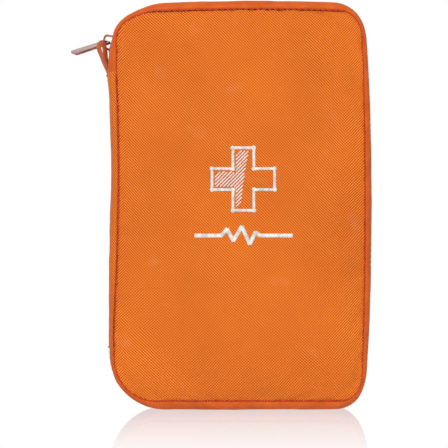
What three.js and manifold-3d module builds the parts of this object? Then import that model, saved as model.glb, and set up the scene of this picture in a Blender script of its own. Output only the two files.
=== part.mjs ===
// A soft first aid pouch that opens like a book. Two padded shells are joined by a fabric spine on the left
// and by a coil zip that runs over the top, down the right and along the bottom. It stands on its bottom edge.
// Millimetres. +X is the zip side seen from the front, +Y the back, +Z up.

import * as THREE from "three";
import { mergeVertices } from "three/addons/utils/BufferGeometryUtils.js";
import Module from "manifold-3d";

const wasm = await Module();
wasm.setup();

// ---- Driving dimensions of the pouch ----
const width = 128;
const height = 200;
const seamDepth = 19.8; // from the zip plane to the seam around each padded panel
const crown = 2.7; // how far a panel swells beyond its seam
const spineRadius = 27; // outline corners beside the spine
const zipRadius = 20; // outline corners on the zip side
const seamInset = 3.8; // from the outline to the panel's seam, on the straights
const seamSpineRadius = 19;
const seamZipRadius = 11;
const rollDepth = 5.2; // depth over which the side fabric rolls out from the seam
const wall = 1.4; // padded side fabric
const gap = 0.3; // between pieces that touch
const panelThickness = 0.8;
const liningThickness = 0.7;
const bindingSize = 2;
const zipHalfGap = 5; // from the zip plane to the edge of the side fabric
const spineBottom = 29; // the spine fabric lies between these two heights
const spineTop = 165;
const cornerStep = 10; // degrees between the sections of a corner
const zipStart = 40; // degrees up the spine corners where the two zip halves part
const foldLine = 12.25; // from the zip plane to each line where the spine folds

// ---- Zip ----
const tapeTop = wall + gap; // depth of the tape below the outline
const tapeThickness = 0.7;
const tapeWidth = 8;
const tapeSlot = 1.3; // half the slot between the two tapes
const coilDepth = 0.3; // the coil's crest below the outline
const coilWidth = 2.4;
const coilGap = 0.15;
const sliderAngle = 15.5; // where the slider is parked, in degrees up the corner
const sliderHalfWidth = 3.3;
const sliderHalfLength = 4.8;
const plateThickness = 1.1;
const bridgeHeight = 5.4; // the top of the slider's arch above the outline
const archWidth = 1.4;
const pivotHeight = 3; // the pull's pivot above the outline
const pullLength = 18.6;
const pullThickness = 1.2;
const pullDroop = 20; // degrees below horizontal
const pullYaw = 20; // degrees towards the front
const pullTwist = 20; // degrees about its own length

// ---- Inside ----
const foamBack = seamDepth - 1.2; // flat inner face of a foam pad
const liningFace = foamBack - gap - liningThickness; // its inner face, where what is packed begins
const back = liningFace - 0.2; // things in the back shell lie against this depth

const left = -width / 2;
const right = width / 2;
const degrees = Math.PI / 180;

// ---- Materials ----
const cloth = (color) => new THREE.MeshStandardMaterial({ color, roughness: 0.85, metalness: 0 });
const hard = (color, roughness, metalness) => new THREE.MeshStandardMaterial({ color, roughness, metalness });
const materials = {
  oxford: cloth(0xdd7019),
  sideFabric: cloth(0xde641f),
  foam: cloth(0xd9d4c8),
  lining: cloth(0x55585c),
  binding: cloth(0x3a3c40),
  tape: cloth(0xd9601f),
  coil: hard(0xc9561a, 0.5, 0),
  metal: hard(0x8c4a2c, 0.35, 0.8),
  elastic: cloth(0x2b2c2e),
  net: cloth(0x2f3134),
  vinyl: hard(0xdfe6ea, 0.15, 0),
  crepe: cloth(0xe2cfae),
  gauze: cloth(0xf2f1ec),
  paper: cloth(0xf4f4f1),
  stickingTape: hard(0xe9e6dd, 0.6, 0),
  core: hard(0xb9a27c, 0.9, 0),
  foil: hard(0xc6b172, 0.25, 0.9),
  plaster: cloth(0xd9a67c),
  steel: hard(0xc4c7ca, 0.25, 1),
  handle: hard(0xd0342c, 0.4, 0),
};

// ---- Outline: stations run up the spine, over the top, down the zip side and back along the bottom ----

// One corner as matching arcs of the outline and of the seam, `from` to `from - 90` degrees.
function cornerStations(sideX, endZ, from, outerRadius, seamRadius) {
  const signX = Math.sign(sideX);
  const up = endZ > height / 2;
  const signZ = up ? 1 : -1;
  const outerCentre = new THREE.Vector2(sideX - signX * outerRadius, endZ - signZ * outerRadius);
  const seamReach = seamInset + seamRadius;
  const seamCentre = new THREE.Vector2(sideX - signX * seamReach, endZ - signZ * seamReach);
  const stations = [];
  for (let turn = 0; turn <= 90; turn += cornerStep) {
    const angle = (from - turn) * degrees;
    const normal = new THREE.Vector2(Math.cos(angle), Math.sin(angle));
    stations.push({
      outer: outerCentre.clone().addScaledVector(normal, outerRadius),
      seam: seamCentre.clone().addScaledVector(normal, seamRadius),
      normal,
    });
  }
  return stations;
}

function spineStation(z) {
  return {
    outer: new THREE.Vector2(left, z),
    seam: new THREE.Vector2(left + seamInset, z),
    normal: new THREE.Vector2(-1, 0),
  };
}

const topSpineCorner = cornerStations(left, height, 180, spineRadius, seamSpineRadius);
const topZipCorner = cornerStations(right, height, 90, zipRadius, seamZipRadius);
const bottomZipCorner = cornerStations(right, 0, 0, zipRadius, seamZipRadius);
const bottomSpineCorner = cornerStations(left, 0, -90, spineRadius, seamSpineRadius);
const outline = [...topSpineCorner, ...topZipCorner, ...bottomZipCorner, ...bottomSpineCorner];

const zipSteps = zipStart / cornerStep;
const openZip = [
  ...topSpineCorner.slice(zipSteps),
  ...topZipCorner,
  ...bottomZipCorner,
  ...bottomSpineCorner.slice(0, bottomSpineCorner.length - zipSteps),
];
const sideRun = [spineStation(spineTop + gap), ...outline, spineStation(spineBottom - gap)];
const spineRun = [spineStation(spineBottom + gap), spineStation(spineTop - gap)];

// A point of the pouch at a station: `roll` is 0 on the outline and 1 on the seam, `depth` is inward from that.
function place(station, roll, depth, y) {
  const p = station.outer.clone().lerp(station.seam, roll).addScaledVector(station.normal, -depth);
  return new THREE.Vector3(p.x, y, p.y);
}

// ---- Solids ----

// Skins rings of equal length into a closed solid. `closed` joins the last ring to the first.
function skin(rings, closed = false) {
  const count = rings[0].length;
  const positions = rings.flat().flatMap((p) => [p.x, p.y, p.z]);
  const index = [];
  const spans = closed ? rings.length : rings.length - 1;
  for (let r = 0; r < spans; r++) {
    for (let i = 0; i < count; i++) {
      const a = r * count + i;
      const b = r * count + ((i + 1) % count);
      const c = ((r + 1) % rings.length) * count + i;
      const d = ((r + 1) % rings.length) * count + ((i + 1) % count);
      index.push(a, b, d, a, d, c);
    }
  }
  if (!closed) {
    index.push(...cap(rings[0], 0, true), ...cap(rings.at(-1), (rings.length - 1) * count, false));
  }
  const geometry = new THREE.BufferGeometry();
  geometry.setAttribute("position", new THREE.Float32BufferAttribute(positions, 3));
  geometry.setIndex(index);
  return facingOut(geometry);
}

// Triangles that close a flat ring, in the ring's own plane.
function cap(ring, offset, flip) {
  const normal = new THREE.Vector3();
  ring.forEach((p, i) => {
    normal.add(new THREE.Vector3().crossVectors(p, ring[(i + 1) % ring.length]));
  });
  const toPlane = new THREE.Quaternion().setFromUnitVectors(normal.normalize(), new THREE.Vector3(0, 0, 1));
  const flat = ring.map((p) => {
    const q = p.clone().applyQuaternion(toPlane);
    return new THREE.Vector2(q.x, q.y);
  });
  return THREE.ShapeUtils.triangulateShape(flat, []).flatMap(([a, b, c]) =>
    flip ? [offset + c, offset + b, offset + a] : [offset + a, offset + b, offset + c],
  );
}

function manifoldOf(geometry) {
  const merged = mergeVertices(positionsOnly(geometry), 1e-4);
  return new wasm.Manifold(
    new wasm.Mesh({
      numProp: 3,
      vertProperties: new Float32Array(merged.attributes.position.array),
      triVerts: new Uint32Array(merged.index.array),
    }),
  );
}

function positionsOnly(geometry) {
  const bare = geometry.clone();
  bare.deleteAttribute("normal");
  bare.deleteAttribute("uv");
  return bare;
}

function geometryOf(manifold) {
  const result = manifold.getMesh();
  const geometry = new THREE.BufferGeometry();
  geometry.setAttribute("position", new THREE.BufferAttribute(result.vertProperties, 3));
  geometry.setIndex(new THREE.BufferAttribute(result.triVerts, 1));
  return geometry;
}

// Turns a closed skin so that its faces point out.
function facingOut(geometry) {
  if (manifoldOf(geometry).volume() < 0) geometry.index.array.reverse();
  return geometry;
}

// A flat outline in X and Z, pushed back along +Y from `y`.
function slab(shape, y, depth) {
  const geometry = new THREE.ExtrudeGeometry(shape, { depth, bevelEnabled: false, curveSegments: 6 });
  return geometry.rotateX(Math.PI / 2).translate(0, y + depth, 0);
}

// A flat outline in X and Y, raised along +Z from `z`.
function raised(shape, z, tall) {
  return new THREE.ExtrudeGeometry(shape, { depth: tall, bevelEnabled: false, curveSegments: 6 }).translate(0, 0, z);
}

function roundedRectangle(x0, z0, x1, z1, radius) {
  const shape = new THREE.Shape();
  shape.moveTo(x0 + radius, z0);
  shape.lineTo(x1 - radius, z0);
  shape.absarc(x1 - radius, z0 + radius, radius, -Math.PI / 2, 0);
  shape.lineTo(x1, z1 - radius);
  shape.absarc(x1 - radius, z1 - radius, radius, 0, Math.PI / 2);
  shape.lineTo(x0 + radius, z1);
  shape.absarc(x0 + radius, z1 - radius, radius, Math.PI / 2, Math.PI);
  shape.lineTo(x0, z0 + radius);
  shape.absarc(x0 + radius, z0 + radius, radius, Math.PI, 1.5 * Math.PI);
  return shape;
}

// A thin packet that swells a little in the middle, lying against the depth `y` and facing -Y.
function packet(x0, z0, x1, z1, y, thickness) {
  const edge = Math.min(3, thickness);
  const layer = (inset, depth) => {
    const shape = roundedRectangle(x0 + inset, z0 + inset, x1 - inset, z1 - inset, 2);
    return shape.getPoints(4).slice(0, -1).map((p) => new THREE.Vector3(p.x, depth, p.y));
  };
  return skin([layer(0, y), layer(0, y - 0.3 * thickness), layer(edge, y - thickness)]);
}

function roll(radius, bore, long) {
  const profile = [
    [bore, -long / 2],
    [radius - 1, -long / 2],
    [radius, -long / 2 + 1],
    [radius, long / 2 - 1],
    [radius - 1, long / 2],
    [bore, long / 2],
  ];
  if (bore > 0) profile.push(profile[0]);
  return new THREE.LatheGeometry(profile.map(([r, z]) => new THREE.Vector2(r, z)), 32);
}

const kit = new THREE.Group();

function add(name, shape, material, parent = kit) {
  const geometry = shape.isBufferGeometry ? shape : geometryOf(shape);
  const mesh = new THREE.Mesh(geometry, materials[material]);
  mesh.name = name;
  parent.add(mesh);
  return mesh;
}

// ---- Shells: `side` is -1 for the front and 1 for the back ----

// The side fabric: it leaves the seam level with the panel, rolls round to the outline and runs on to `edge`.
function sideWall(run, side, edge) {
  const turns = [0, 30, 60, 90];
  const outside = turns.map((turn) => {
    const angle = turn * degrees;
    return [1 - Math.sin(angle), 0, seamDepth - rollDepth * (1 - Math.cos(angle))];
  });
  const inside = turns.map((turn) => {
    const angle = turn * degrees;
    return [1 - Math.sin(angle), wall, seamDepth - wall - (rollDepth - wall) * (1 - Math.cos(angle))];
  });
  const profile = [...outside, [0, 0, edge], [0, wall, edge], ...inside.reverse()];
  return skin(run.map((station) => profile.map(([roll, depth, y]) => place(station, roll, depth, side * y))));
}

// How far a padded panel stands beyond its seam at a share `inward` of the way to its middle.
const swell = (inward) => crown * (1 - (1 - inward) ** 3);

// The outline shrunk from its seam towards the middle line of the pouch, by a share.
function shrunk(share, inset, y) {
  const reach = width / 2 - seamInset;
  return outline.map((station) => {
    const p = place(station, 1, inset, y);
    const core = new THREE.Vector3(0, y, THREE.MathUtils.clamp(p.z, reach, height - reach));
    return p.lerp(core, share);
  });
}

const panelShares = [0, 0.08, 0.2, 0.4, 0.7];

function panelFabric(side) {
  const outer = panelShares.map((share) => shrunk(share, gap, side * (seamDepth + swell(share))));
  const inner = panelShares.map((share) => {
    return shrunk(share, gap + panelThickness, side * (seamDepth + swell(share) - panelThickness));
  });
  return skin([...inner.toReversed(), ...outer]);
}

function foamPad(side) {
  const outer = panelShares.slice(2).map((share) => {
    return shrunk(share, 0, side * (seamDepth + swell(share) - panelThickness - gap));
  });
  return skin([shrunk(panelShares[2], 0, side * foamBack), ...outer]);
}

function lining(side) {
  const faces = [liningFace + liningThickness, liningFace];
  return skin(faces.map((depth) => shrunk(0, wall + 0.4, side * depth)));
}

// The tape that binds the seam allowance where lining and side fabric meet.
function seamBinding(side) {
  const near = wall + 0.5;
  const top = liningFace - gap;
  const corners = [
    [near, top],
    [near + bindingSize, top],
    [near + bindingSize, top - bindingSize],
    [near, top - bindingSize],
  ];
  return skin(outline.map((station) => corners.map(([depth, y]) => place(station, 1, depth, side * y))), true);
}

function zipTape(run, side, outerEdge) {
  const bottom = tapeTop + tapeThickness;
  const corners = [
    [tapeTop, outerEdge],
    [bottom, outerEdge],
    [bottom, tapeSlot],
    [tapeTop, tapeSlot],
  ];
  return skin(run.map((station) => corners.map(([depth, y]) => place(station, 0, depth, side * y))));
}

function zipCoil(run, side) {
  const bottom = tapeTop - 0.1;
  const corners = [
    [coilDepth + 0.5, coilWidth],
    [bottom, coilWidth],
    [bottom, coilGap],
    [coilDepth, coilGap],
    [coilDepth, coilWidth - 0.5],
  ];
  return skin(run.map((station) => corners.map(([depth, y]) => place(station, 0, depth, side * y))));
}

for (const [name, side] of [["front", -1], ["back", 1]]) {
  add(`${name}_panel`, panelFabric(side), "oxford");
  add(`${name}_foam_pad`, foamPad(side), "foam");
  add(`${name}_lining`, lining(side), "lining");
  add(`${name}_seam_binding`, seamBinding(side), "binding");
  add(`${name}_gusset`, sideWall(sideRun, side, zipHalfGap), "sideFabric");
  add(`${name}_spine`, sideWall(spineRun, side, foldLine + gap / 2), "oxford");
  add(`${name}_zip_tape`, zipTape(openZip, side, tapeWidth), "tape");
  add(`${name}_zip_coil`, zipCoil(openZip, side), "coil");
}

// ---- The fold: the middle of the spine and the closed ends of the zip, which bend half as far as the cover ----

const foldHalf = foldLine - gap / 2;
const endTapeEdge = zipHalfGap - gap;

function foldStrip(run) {
  const corners = [
    [0, -foldHalf],
    [wall, -foldHalf],
    [wall, foldHalf],
    [0, foldHalf],
  ];
  return skin(run.map((station) => corners.map(([depth, y]) => place(station, 0, depth, y))));
}

const topEnd = [spineStation(spineTop + gap), ...topSpineCorner.slice(0, zipSteps)];
const bottomEnd = [...bottomSpineCorner.slice(-zipSteps), spineStation(spineBottom - gap)];

// A small metal clip over both rows of the coil.
function zipStop(z) {
  const clip = { thickness: 0.9, tall: 2.2, proud: 0.6 };
  const metal = new THREE.BoxGeometry(clip.thickness, 2 * coilWidth, clip.tall);
  return metal.translate(left + clip.thickness / 2 - clip.proud, 0, z);
}

add("spine_fold", foldStrip(spineRun), "oxford");
for (const [end, run, stopZ] of [["top", topEnd, spineTop + 3], ["bottom", bottomEnd, spineBottom - 1.7]]) {
  add(`zip_${end}_end_tape_front`, zipTape(run, -1, endTapeEdge), "tape");
  add(`zip_${end}_end_tape_back`, zipTape(run, 1, endTapeEdge), "tape");
  add(`zip_${end}_stop`, zipStop(stopZ), "metal");
}

// A short ribbon loop in front of the zip, whose two ends are sewn down one over the other on the cross seam.
const loop = { y: -10.2, wide: 2.8, thickness: 1 };

function hangLoop() {
  const sewn = gap + loop.thickness / 2;
  const route = [
    [-sewn, spineTop - 2.8],
    [-sewn - 0.4, spineTop - 1.4],
    [-2.05, spineTop + 0.4],
    [-2.5, spineTop + 2.5],
    [-3.5, spineTop + 5.6],
    [-5.3, spineTop + 10.2],
    [-5.9, spineTop + 13],
    [-5.1, spineTop + 15.6],
    [-3.2, spineTop + 13.8],
    [-1.9, spineTop + 9.6],
    [-1.1, spineTop + 6],
    [-sewn, spineTop + 3.2],
    [-sewn, spineTop + 0.9],
  ];
  const curve = new THREE.CatmullRomCurve3(route.map(([x, z]) => new THREE.Vector3(left + x, loop.y, z)));
  const section = new THREE.Shape();
  section.absellipse(0, 0, loop.wide / 2, loop.thickness / 2, 0, 2 * Math.PI);
  return new THREE.ExtrudeGeometry(section, { steps: 30, curveSegments: 8, extrudePath: curve });
}

add("hang_loop", hangLoop(), "tape");

// ---- Zip slider and pull ----

// Local frame on the corner: -X points away from the pouch and +Z up along the zip.
const sliderFrame = new THREE.Group();
const cornerCentre = new THREE.Vector3(left + spineRadius, 0, height - spineRadius);
sliderFrame.position.set(
  cornerCentre.x - spineRadius * Math.cos(sliderAngle * degrees),
  0,
  cornerCentre.z + spineRadius * Math.sin(sliderAngle * degrees),
);
sliderFrame.rotation.y = sliderAngle * degrees;
kit.add(sliderFrame);

function sliderPlate(x, halfWidth) {
  const shape = new THREE.Shape();
  shape.moveTo(-halfWidth + 1.2, -sliderHalfLength);
  shape.lineTo(halfWidth - 1.2, -sliderHalfLength);
  shape.lineTo(halfWidth, 3 - sliderHalfLength);
  shape.lineTo(halfWidth - 0.8, sliderHalfLength);
  shape.lineTo(-halfWidth + 0.8, sliderHalfLength);
  shape.lineTo(-halfWidth, 3 - sliderHalfLength);
  const geometry = new THREE.ExtrudeGeometry(shape, { depth: plateThickness, bevelEnabled: false });
  // The outline's X becomes Y, its Y becomes Z, and its thickness runs along X.
  const toSlider = new THREE.Matrix4().makeBasis(
    new THREE.Vector3(0, 1, 0),
    new THREE.Vector3(0, 0, 1),
    new THREE.Vector3(1, 0, 0),
  );
  return geometry.applyMatrix4(toSlider).translate(x, 0, 0);
}

function sliderBody() {
  const top = manifoldOf(sliderPlate(-plateThickness, sliderHalfWidth));
  const underside = tapeTop + tapeThickness + 1;
  const bottom = manifoldOf(sliderPlate(underside, sliderHalfWidth));
  const neckLength = underside + 1;
  const neck = new THREE.CylinderGeometry(1, 1, neckLength, 12).rotateZ(Math.PI / 2);
  neck.translate(neckLength / 2 - 0.5, 0, 1.4 - sliderHalfLength);
  return top.add(bottom).add(manifoldOf(neck));
}

// The arch that the pull hangs from, with its feet on the top plate.
function sliderBridge() {
  const foot = plateThickness - 0.4;
  const bar = bridgeHeight - 0.9;
  const shape = new THREE.Shape();
  shape.moveTo(-foot, -4);
  shape.lineTo(-bar, -3.6);
  shape.lineTo(-bridgeHeight, -2.4);
  shape.lineTo(-bridgeHeight, 2.4);
  shape.lineTo(-bar, 3.6);
  shape.lineTo(-foot, 4);
  shape.lineTo(-foot, 2.9);
  shape.lineTo(-bar + 0.8, 2.6);
  shape.lineTo(-bar, 1.9);
  shape.lineTo(-bar, -1.9);
  shape.lineTo(-bar + 0.8, -2.6);
  shape.lineTo(-foot, -2.9);
  return manifoldOf(slab(shape, -archWidth / 2, archWidth));
}

add("zip_slider", sliderBody().add(sliderBridge()), "metal", sliderFrame);

// The pull: a flat tab along -X of its own frame, with a window whose end bar turns inside the arch.
function pullTab() {
  const shape = new THREE.Shape();
  shape.moveTo(0.45, -3);
  shape.lineTo(0.45, 3);
  shape.lineTo(-0.3, 3.3);
  shape.lineTo(-pullLength + 0.8, 4);
  shape.lineTo(-pullLength, 3.2);
  shape.lineTo(-pullLength, -3.2);
  shape.lineTo(-pullLength + 0.8, -4);
  shape.lineTo(-0.3, -3.3);
  const window = new THREE.Path();
  window.moveTo(-0.4, -2.25);
  window.lineTo(-0.4, 2.25);
  window.lineTo(-4.8, 2.25);
  window.lineTo(-4.8, -2.25);
  shape.holes.push(window);
  const flat = new THREE.ExtrudeGeometry(shape, { depth: pullThickness, bevelEnabled: false });
  return flat.translate(0, 0, -pullThickness / 2);
}

const pullFrame = new THREE.Group();
const normal = new THREE.Vector3(-Math.cos(sliderAngle * degrees), 0, Math.sin(sliderAngle * degrees));
pullFrame.position.copy(sliderFrame.position).addScaledVector(normal, pivotHeight);
pullFrame.rotation.order = "YZX";
pullFrame.rotation.set(pullTwist * degrees, -pullDroop * degrees, pullYaw * degrees);
kit.add(pullFrame);
add("zip_pull", pullTab(), "metal", pullFrame);

// ---- Packed in the back shell ----

const crepe = { radius: 14.5, long: 50, x: -26, z: 23.5 };
const gauze = { radius: 13, long: 48, x: 28, z: 22.5 };
for (const [name, size] of [["crepe", crepe], ["gauze", gauze]]) {
  const made = roll(size.radius, 0, size.long).rotateZ(Math.PI / 2);
  made.translate(size.x, back - size.radius, size.z);
  add(`${name}_bandage_roll`, made, name);
}

const tapeRoll = { radius: 18, bore: 12.5, core: 11, wide: 12, x: -37, z: 60 };
const rollCentre = [tapeRoll.x, back - tapeRoll.wide / 2, tapeRoll.z];
add("sticking_tape", roll(tapeRoll.radius, tapeRoll.bore, tapeRoll.wide).translate(...rollCentre), "stickingTape");
add("tape_core", roll(tapeRoll.bore - gap, tapeRoll.core, tapeRoll.wide).translate(...rollCentre), "core");
add("foil_blanket", packet(-16, 42, 52, 80, back, 11), "foil");
add("triangular_bandage", packet(-52, 90, -31, 158, back, 8), "paper");

// Two sprung arms, joined at their lower end and apart at the tips.
const tweezers = { x: -20.5, z: 92, long: 84, wide: 7, thickness: 1, spread: 4.5 };

function tweezerArm(side) {
  const { long, wide, thickness, spread } = tweezers;
  const rings = [0, 0.12, 0.5, 0.85, 1].map((share) => {
    const half = (wide / 2) * (share < 0.6 ? 1 : 1 - 0.8 * ((share - 0.6) / 0.4));
    const lift = 0.15 + (spread / 2) * Math.sin(Math.min(1, 1.3 * share) * Math.PI * 0.5);
    const inner = side * lift;
    const outer = side * (lift + thickness);
    return [
      new THREE.Vector3(-half, inner, share * long),
      new THREE.Vector3(half, inner, share * long),
      new THREE.Vector3(half, outer, share * long),
      new THREE.Vector3(-half, outer, share * long),
    ];
  });
  return skin(rings).translate(tweezers.x, back - 3.6, tweezers.z);
}

add("tweezers_arm_back", tweezerArm(1), "steel");
add("tweezers_arm_front", tweezerArm(-1), "steel");

// Scissors, points up. Each half is a blade and a moulded finger ring.
const scissors = { x: 10, z: 136, blade: 46, shank: 19, thickness: 1.4, ringX: 9, ringZ: -31, pin: 1.5, head: 3 };
const handle = { near: back - 5.4, thick: 4.6, innerX: 2.2, outerX: 8.6 };

function scissorBlade(side) {
  const { x, z, blade, shank } = scissors;
  const shape = new THREE.Shape();
  shape.moveTo(x - side * 5, z - 6);
  shape.lineTo(x - side * 5.4, z + 2);
  shape.lineTo(x - side * 4.6, z + blade * 0.6);
  shape.lineTo(x - side * 0.4, z + blade);
  shape.lineTo(x + side * 1.2, z + blade * 0.94);
  shape.lineTo(x + side * 3.6, z + 4);
  shape.lineTo(x + side * 8, z - shank);
  shape.lineTo(x + side * 2.2, z - shank);
  return shape;
}

function fingerRing(side) {
  const { x, z, ringX, ringZ, shank } = scissors;
  const centreX = x + side * ringX;
  const centreZ = z + ringZ;
  const shape = new THREE.Shape();
  shape.absellipse(centreX, centreZ, 8.4, 11.4, 0, 2 * Math.PI);
  const hole = new THREE.Path().absellipse(centreX, centreZ, 5.4, 8.2, 0, 2 * Math.PI);
  shape.holes.push(hole);
  const ring = manifoldOf(slab(shape, handle.near, handle.thick));
  const edges = [x + side * handle.innerX, x + side * handle.outerX];
  const neck = roundedRectangle(Math.min(...edges), centreZ + 9.4, Math.max(...edges), z - shank - gap, 1);
  return ring.add(manifoldOf(slab(neck, handle.near, handle.thick)));
}

const lowerBladeY = back - 1.8 - scissors.thickness;
const upperBladeY = lowerBladeY - gap - scissors.thickness;
for (const [name, side, y] of [["left", -1, lowerBladeY], ["right", 1, upperBladeY]]) {
  const boreRadius = scissors.pin + 0.4;
  const bore = new THREE.CylinderGeometry(boreRadius, boreRadius, 10, 16).translate(scissors.x, y, scissors.z);
  const blade = manifoldOf(slab(scissorBlade(side), y, scissors.thickness)).subtract(manifoldOf(bore));
  add(`scissors_${name}_blade`, blade, "steel");
  add(`scissors_${name}_handle`, fingerRing(side), "handle");
}

function rivet() {
  const headTop = upperBladeY - 0.9;
  const headBase = upperBladeY - gap;
  const end = lowerBladeY + scissors.thickness + 0.2;
  const profile = [
    [0, headTop],
    [scissors.head, headTop],
    [scissors.head, headBase],
    [scissors.pin, headBase],
    [scissors.pin, end],
    [0, end],
  ];
  const pin = new THREE.LatheGeometry(profile.map(([r, y]) => new THREE.Vector2(r, y)), 16);
  return pin.translate(scissors.x, 0, scissors.z);
}

add("scissors_rivet", rivet(), "steel");

// The elastic that holds the tools: it runs across the lining and bows out over each of them.
const elastic = { z: 140, tall: 14, thickness: 0.9 };
const loops = [
  { x0: -53.5, x1: -29.5, out: 9 },
  { x0: -26.5, x1: -14.5, out: 8 },
  { x0: -4, x1: 24, out: 6 },
  { x0: 33, x1: 51, out: 7.5 },
];

function elasticBand() {
  const ends = 3;
  const near = back - gap;
  const line = [new THREE.Vector2(loops[0].x0 - 1.5, near)];
  for (const { x0, x1, out } of loops) {
    line.push(new THREE.Vector2(x0, near));
    line.push(new THREE.Vector2(x0 + 0.4, near - 0.75 * out));
    line.push(new THREE.Vector2(x0 + 2.4, near - out));
    line.push(new THREE.Vector2(x1 - 2.4, near - out));
    line.push(new THREE.Vector2(x1 - 0.4, near - 0.75 * out));
    line.push(new THREE.Vector2(x1, near));
  }
  line.push(new THREE.Vector2(loops.at(-1).x1 + ends, near));
  return raised(ribbon(line, elastic.thickness), elastic.z, elastic.tall);
}

// A closed outline with a thickness, on the -Y side of an open line.
function ribbon(line, thickness) {
  const offset = line.map((p, i) => {
    const before = line[Math.max(0, i - 1)];
    const after = line[Math.min(line.length - 1, i + 1)];
    const into = p.clone().sub(before).normalize();
    const away = after.clone().sub(p).normalize();
    const bisector = into.clone().add(away).normalize();
    const across = new THREE.Vector2(bisector.y, -bisector.x);
    const mitre = 1 / Math.max(0.5, bisector.dot(i > 0 ? into : away));
    return p.clone().addScaledVector(across, thickness * mitre);
  });
  return new THREE.Shape([...line, ...offset.reverse()]);
}

add("elastic_band", elasticBand(), "elastic");

// ---- Packed in the front cover ----

const frontFace = -liningFace;

// A flat pocket with side and bottom walls, open at the top.
function pocket({ x0, z0, x1, z1, reach, radius }) {
  const thickness = 0.6;
  const outside = roundedRectangle(x0, z0, x1, z1, radius);
  const inside = roundedRectangle(x0 + thickness, z0 + thickness, x1 - thickness, z1 + 20, radius - thickness);
  const depth = reach - gap;
  const body = manifoldOf(slab(outside, frontFace + gap, depth));
  const space = manifoldOf(slab(inside, frontFace - 1, depth + 1 + gap - thickness));
  const mouth = new THREE.BoxGeometry(2 * width, 40, 40).translate(0, 0, z1 - radius + 20);
  return body.subtract(space).subtract(manifoldOf(mouth));
}

const netPocket = { x0: -55, z0: 9, x1: 55, z1: 126, reach: 5.4, radius: 14 };
const netMouth = netPocket.z1 - netPocket.radius;
add("net_pocket", pocket(netPocket), "net");
const hem = new THREE.BoxGeometry(netPocket.x1 - netPocket.x0, 1.2, 5);
add("net_pocket_hem", hem.translate(0, frontFace + netPocket.reach + gap + 0.6, netMouth - 2.5), "binding");

const clearPocket = { x0: -48, z0: 128, x1: 48, z1: 188, reach: 5.2, radius: 4 };
add("clear_pocket", pocket(clearPocket), "vinyl");
add("guide_leaflet", slab(roundedRectangle(-43, 130, 20, 178, 1), frontFace + 0.6, 1.2), "paper");

for (let i = 0; i < 4; i++) {
  const x0 = -41 + 16 * i;
  add(`plaster_${i + 1}`, slab(roundedRectangle(x0, 132, x0 + 14, 176, 5), frontFace + 2.2, 0.8), "plaster");
}

add("gloves_packet", packet(-52, 20, -13, 100, frontFace + 3.4, 2.8), "paper");
add("dressing_packet", packet(-10, 12, 18, 92, frontFace + 3.4, 2.8), "paper");

// ---- Stand the whole kit on the origin, centred over its bounding box ----
kit.updateMatrixWorld(true);
const box = new THREE.Box3().setFromObject(kit);
kit.position.x = -(box.min.x + box.max.x) / 2;

export default kit;
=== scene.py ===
"""Looks for a soft zip-round first aid pouch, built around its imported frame.

The shells are two padded panels, each with a side fabric that rolls round to the zip and, on the spine side,
a folding spine in the panels' weave. Lengths are millimetres in the row frame until a mesh is made: +X is the
zip side, -Y the front, +Z up. `side` is -1 for the front shell and 1 for the back shell.
"""

import math

import bmesh
import bpy
import numpy as np
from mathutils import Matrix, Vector, noise
from mathutils.bvhtree import BVHTree


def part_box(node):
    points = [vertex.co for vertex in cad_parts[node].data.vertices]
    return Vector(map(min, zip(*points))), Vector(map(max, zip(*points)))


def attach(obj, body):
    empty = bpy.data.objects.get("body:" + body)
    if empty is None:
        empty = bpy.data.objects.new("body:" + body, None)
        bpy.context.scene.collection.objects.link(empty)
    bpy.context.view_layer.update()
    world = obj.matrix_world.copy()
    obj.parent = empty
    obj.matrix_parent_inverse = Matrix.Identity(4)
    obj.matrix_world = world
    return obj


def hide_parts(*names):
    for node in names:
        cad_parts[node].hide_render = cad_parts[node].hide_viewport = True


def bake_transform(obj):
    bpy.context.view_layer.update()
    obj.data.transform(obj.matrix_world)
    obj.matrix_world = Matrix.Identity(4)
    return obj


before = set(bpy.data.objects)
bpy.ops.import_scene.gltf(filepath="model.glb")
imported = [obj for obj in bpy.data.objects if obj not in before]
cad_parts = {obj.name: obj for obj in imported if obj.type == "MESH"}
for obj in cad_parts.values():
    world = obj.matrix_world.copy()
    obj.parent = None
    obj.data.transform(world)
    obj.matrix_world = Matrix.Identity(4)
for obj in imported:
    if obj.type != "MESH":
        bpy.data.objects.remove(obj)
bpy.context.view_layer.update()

MM = 0.001


def box_mm(node):
    """Lowest and highest corner of a CAD node, in millimetres."""
    low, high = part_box(node)
    return low / MM, high / MM


# ---- Dimensions of the pouch, from the frame ----

gusset_low, gusset_high = box_mm("front_gusset")
spine_low, spine_high = box_mm("front_spine")

LEFT, RIGHT, HEIGHT = gusset_low.x, gusset_high.x, gusset_high.z
CENTRE = (LEFT + RIGHT) / 2
HALF_WIDTH = (RIGHT - LEFT) / 2
SEAM_DEPTH = -gusset_low.y
ZIP_EDGE = -gusset_high.y
CROWN = -box_mm("front_panel")[0].y - SEAM_DEPTH
LINING_FACE = -box_mm("front_lining")[1].y
GAP = 0.3
SPINE_BOTTOM, SPINE_TOP = spine_low.z - GAP, spine_high.z + GAP

SPINE_RADIUS, ZIP_RADIUS = 27, 18
SEAM_SPINE_RADIUS, SEAM_ZIP_RADIUS = 19, 12.5
INSET_SPINE, INSET_ZIP, INSET_TOP, INSET_BOTTOM = 4.0, 3.3, 4.4, 4.4
WALL = 1.3
ROLL_DEPTH = 5.2

BODY_OF = {-1: "cover", 1: "back_shell"}
NAME_OF = {-1: "front", 1: "back"}


def smooth(t):
    t = np.clip(t, 0, 1)
    return t * t * (3 - 2 * t)


def travelled(path):
    """How far along a path of 2-D points each of them is."""
    return np.concatenate([[0], np.cumsum(np.hypot(*np.diff(path, axis=0).T))])


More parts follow.
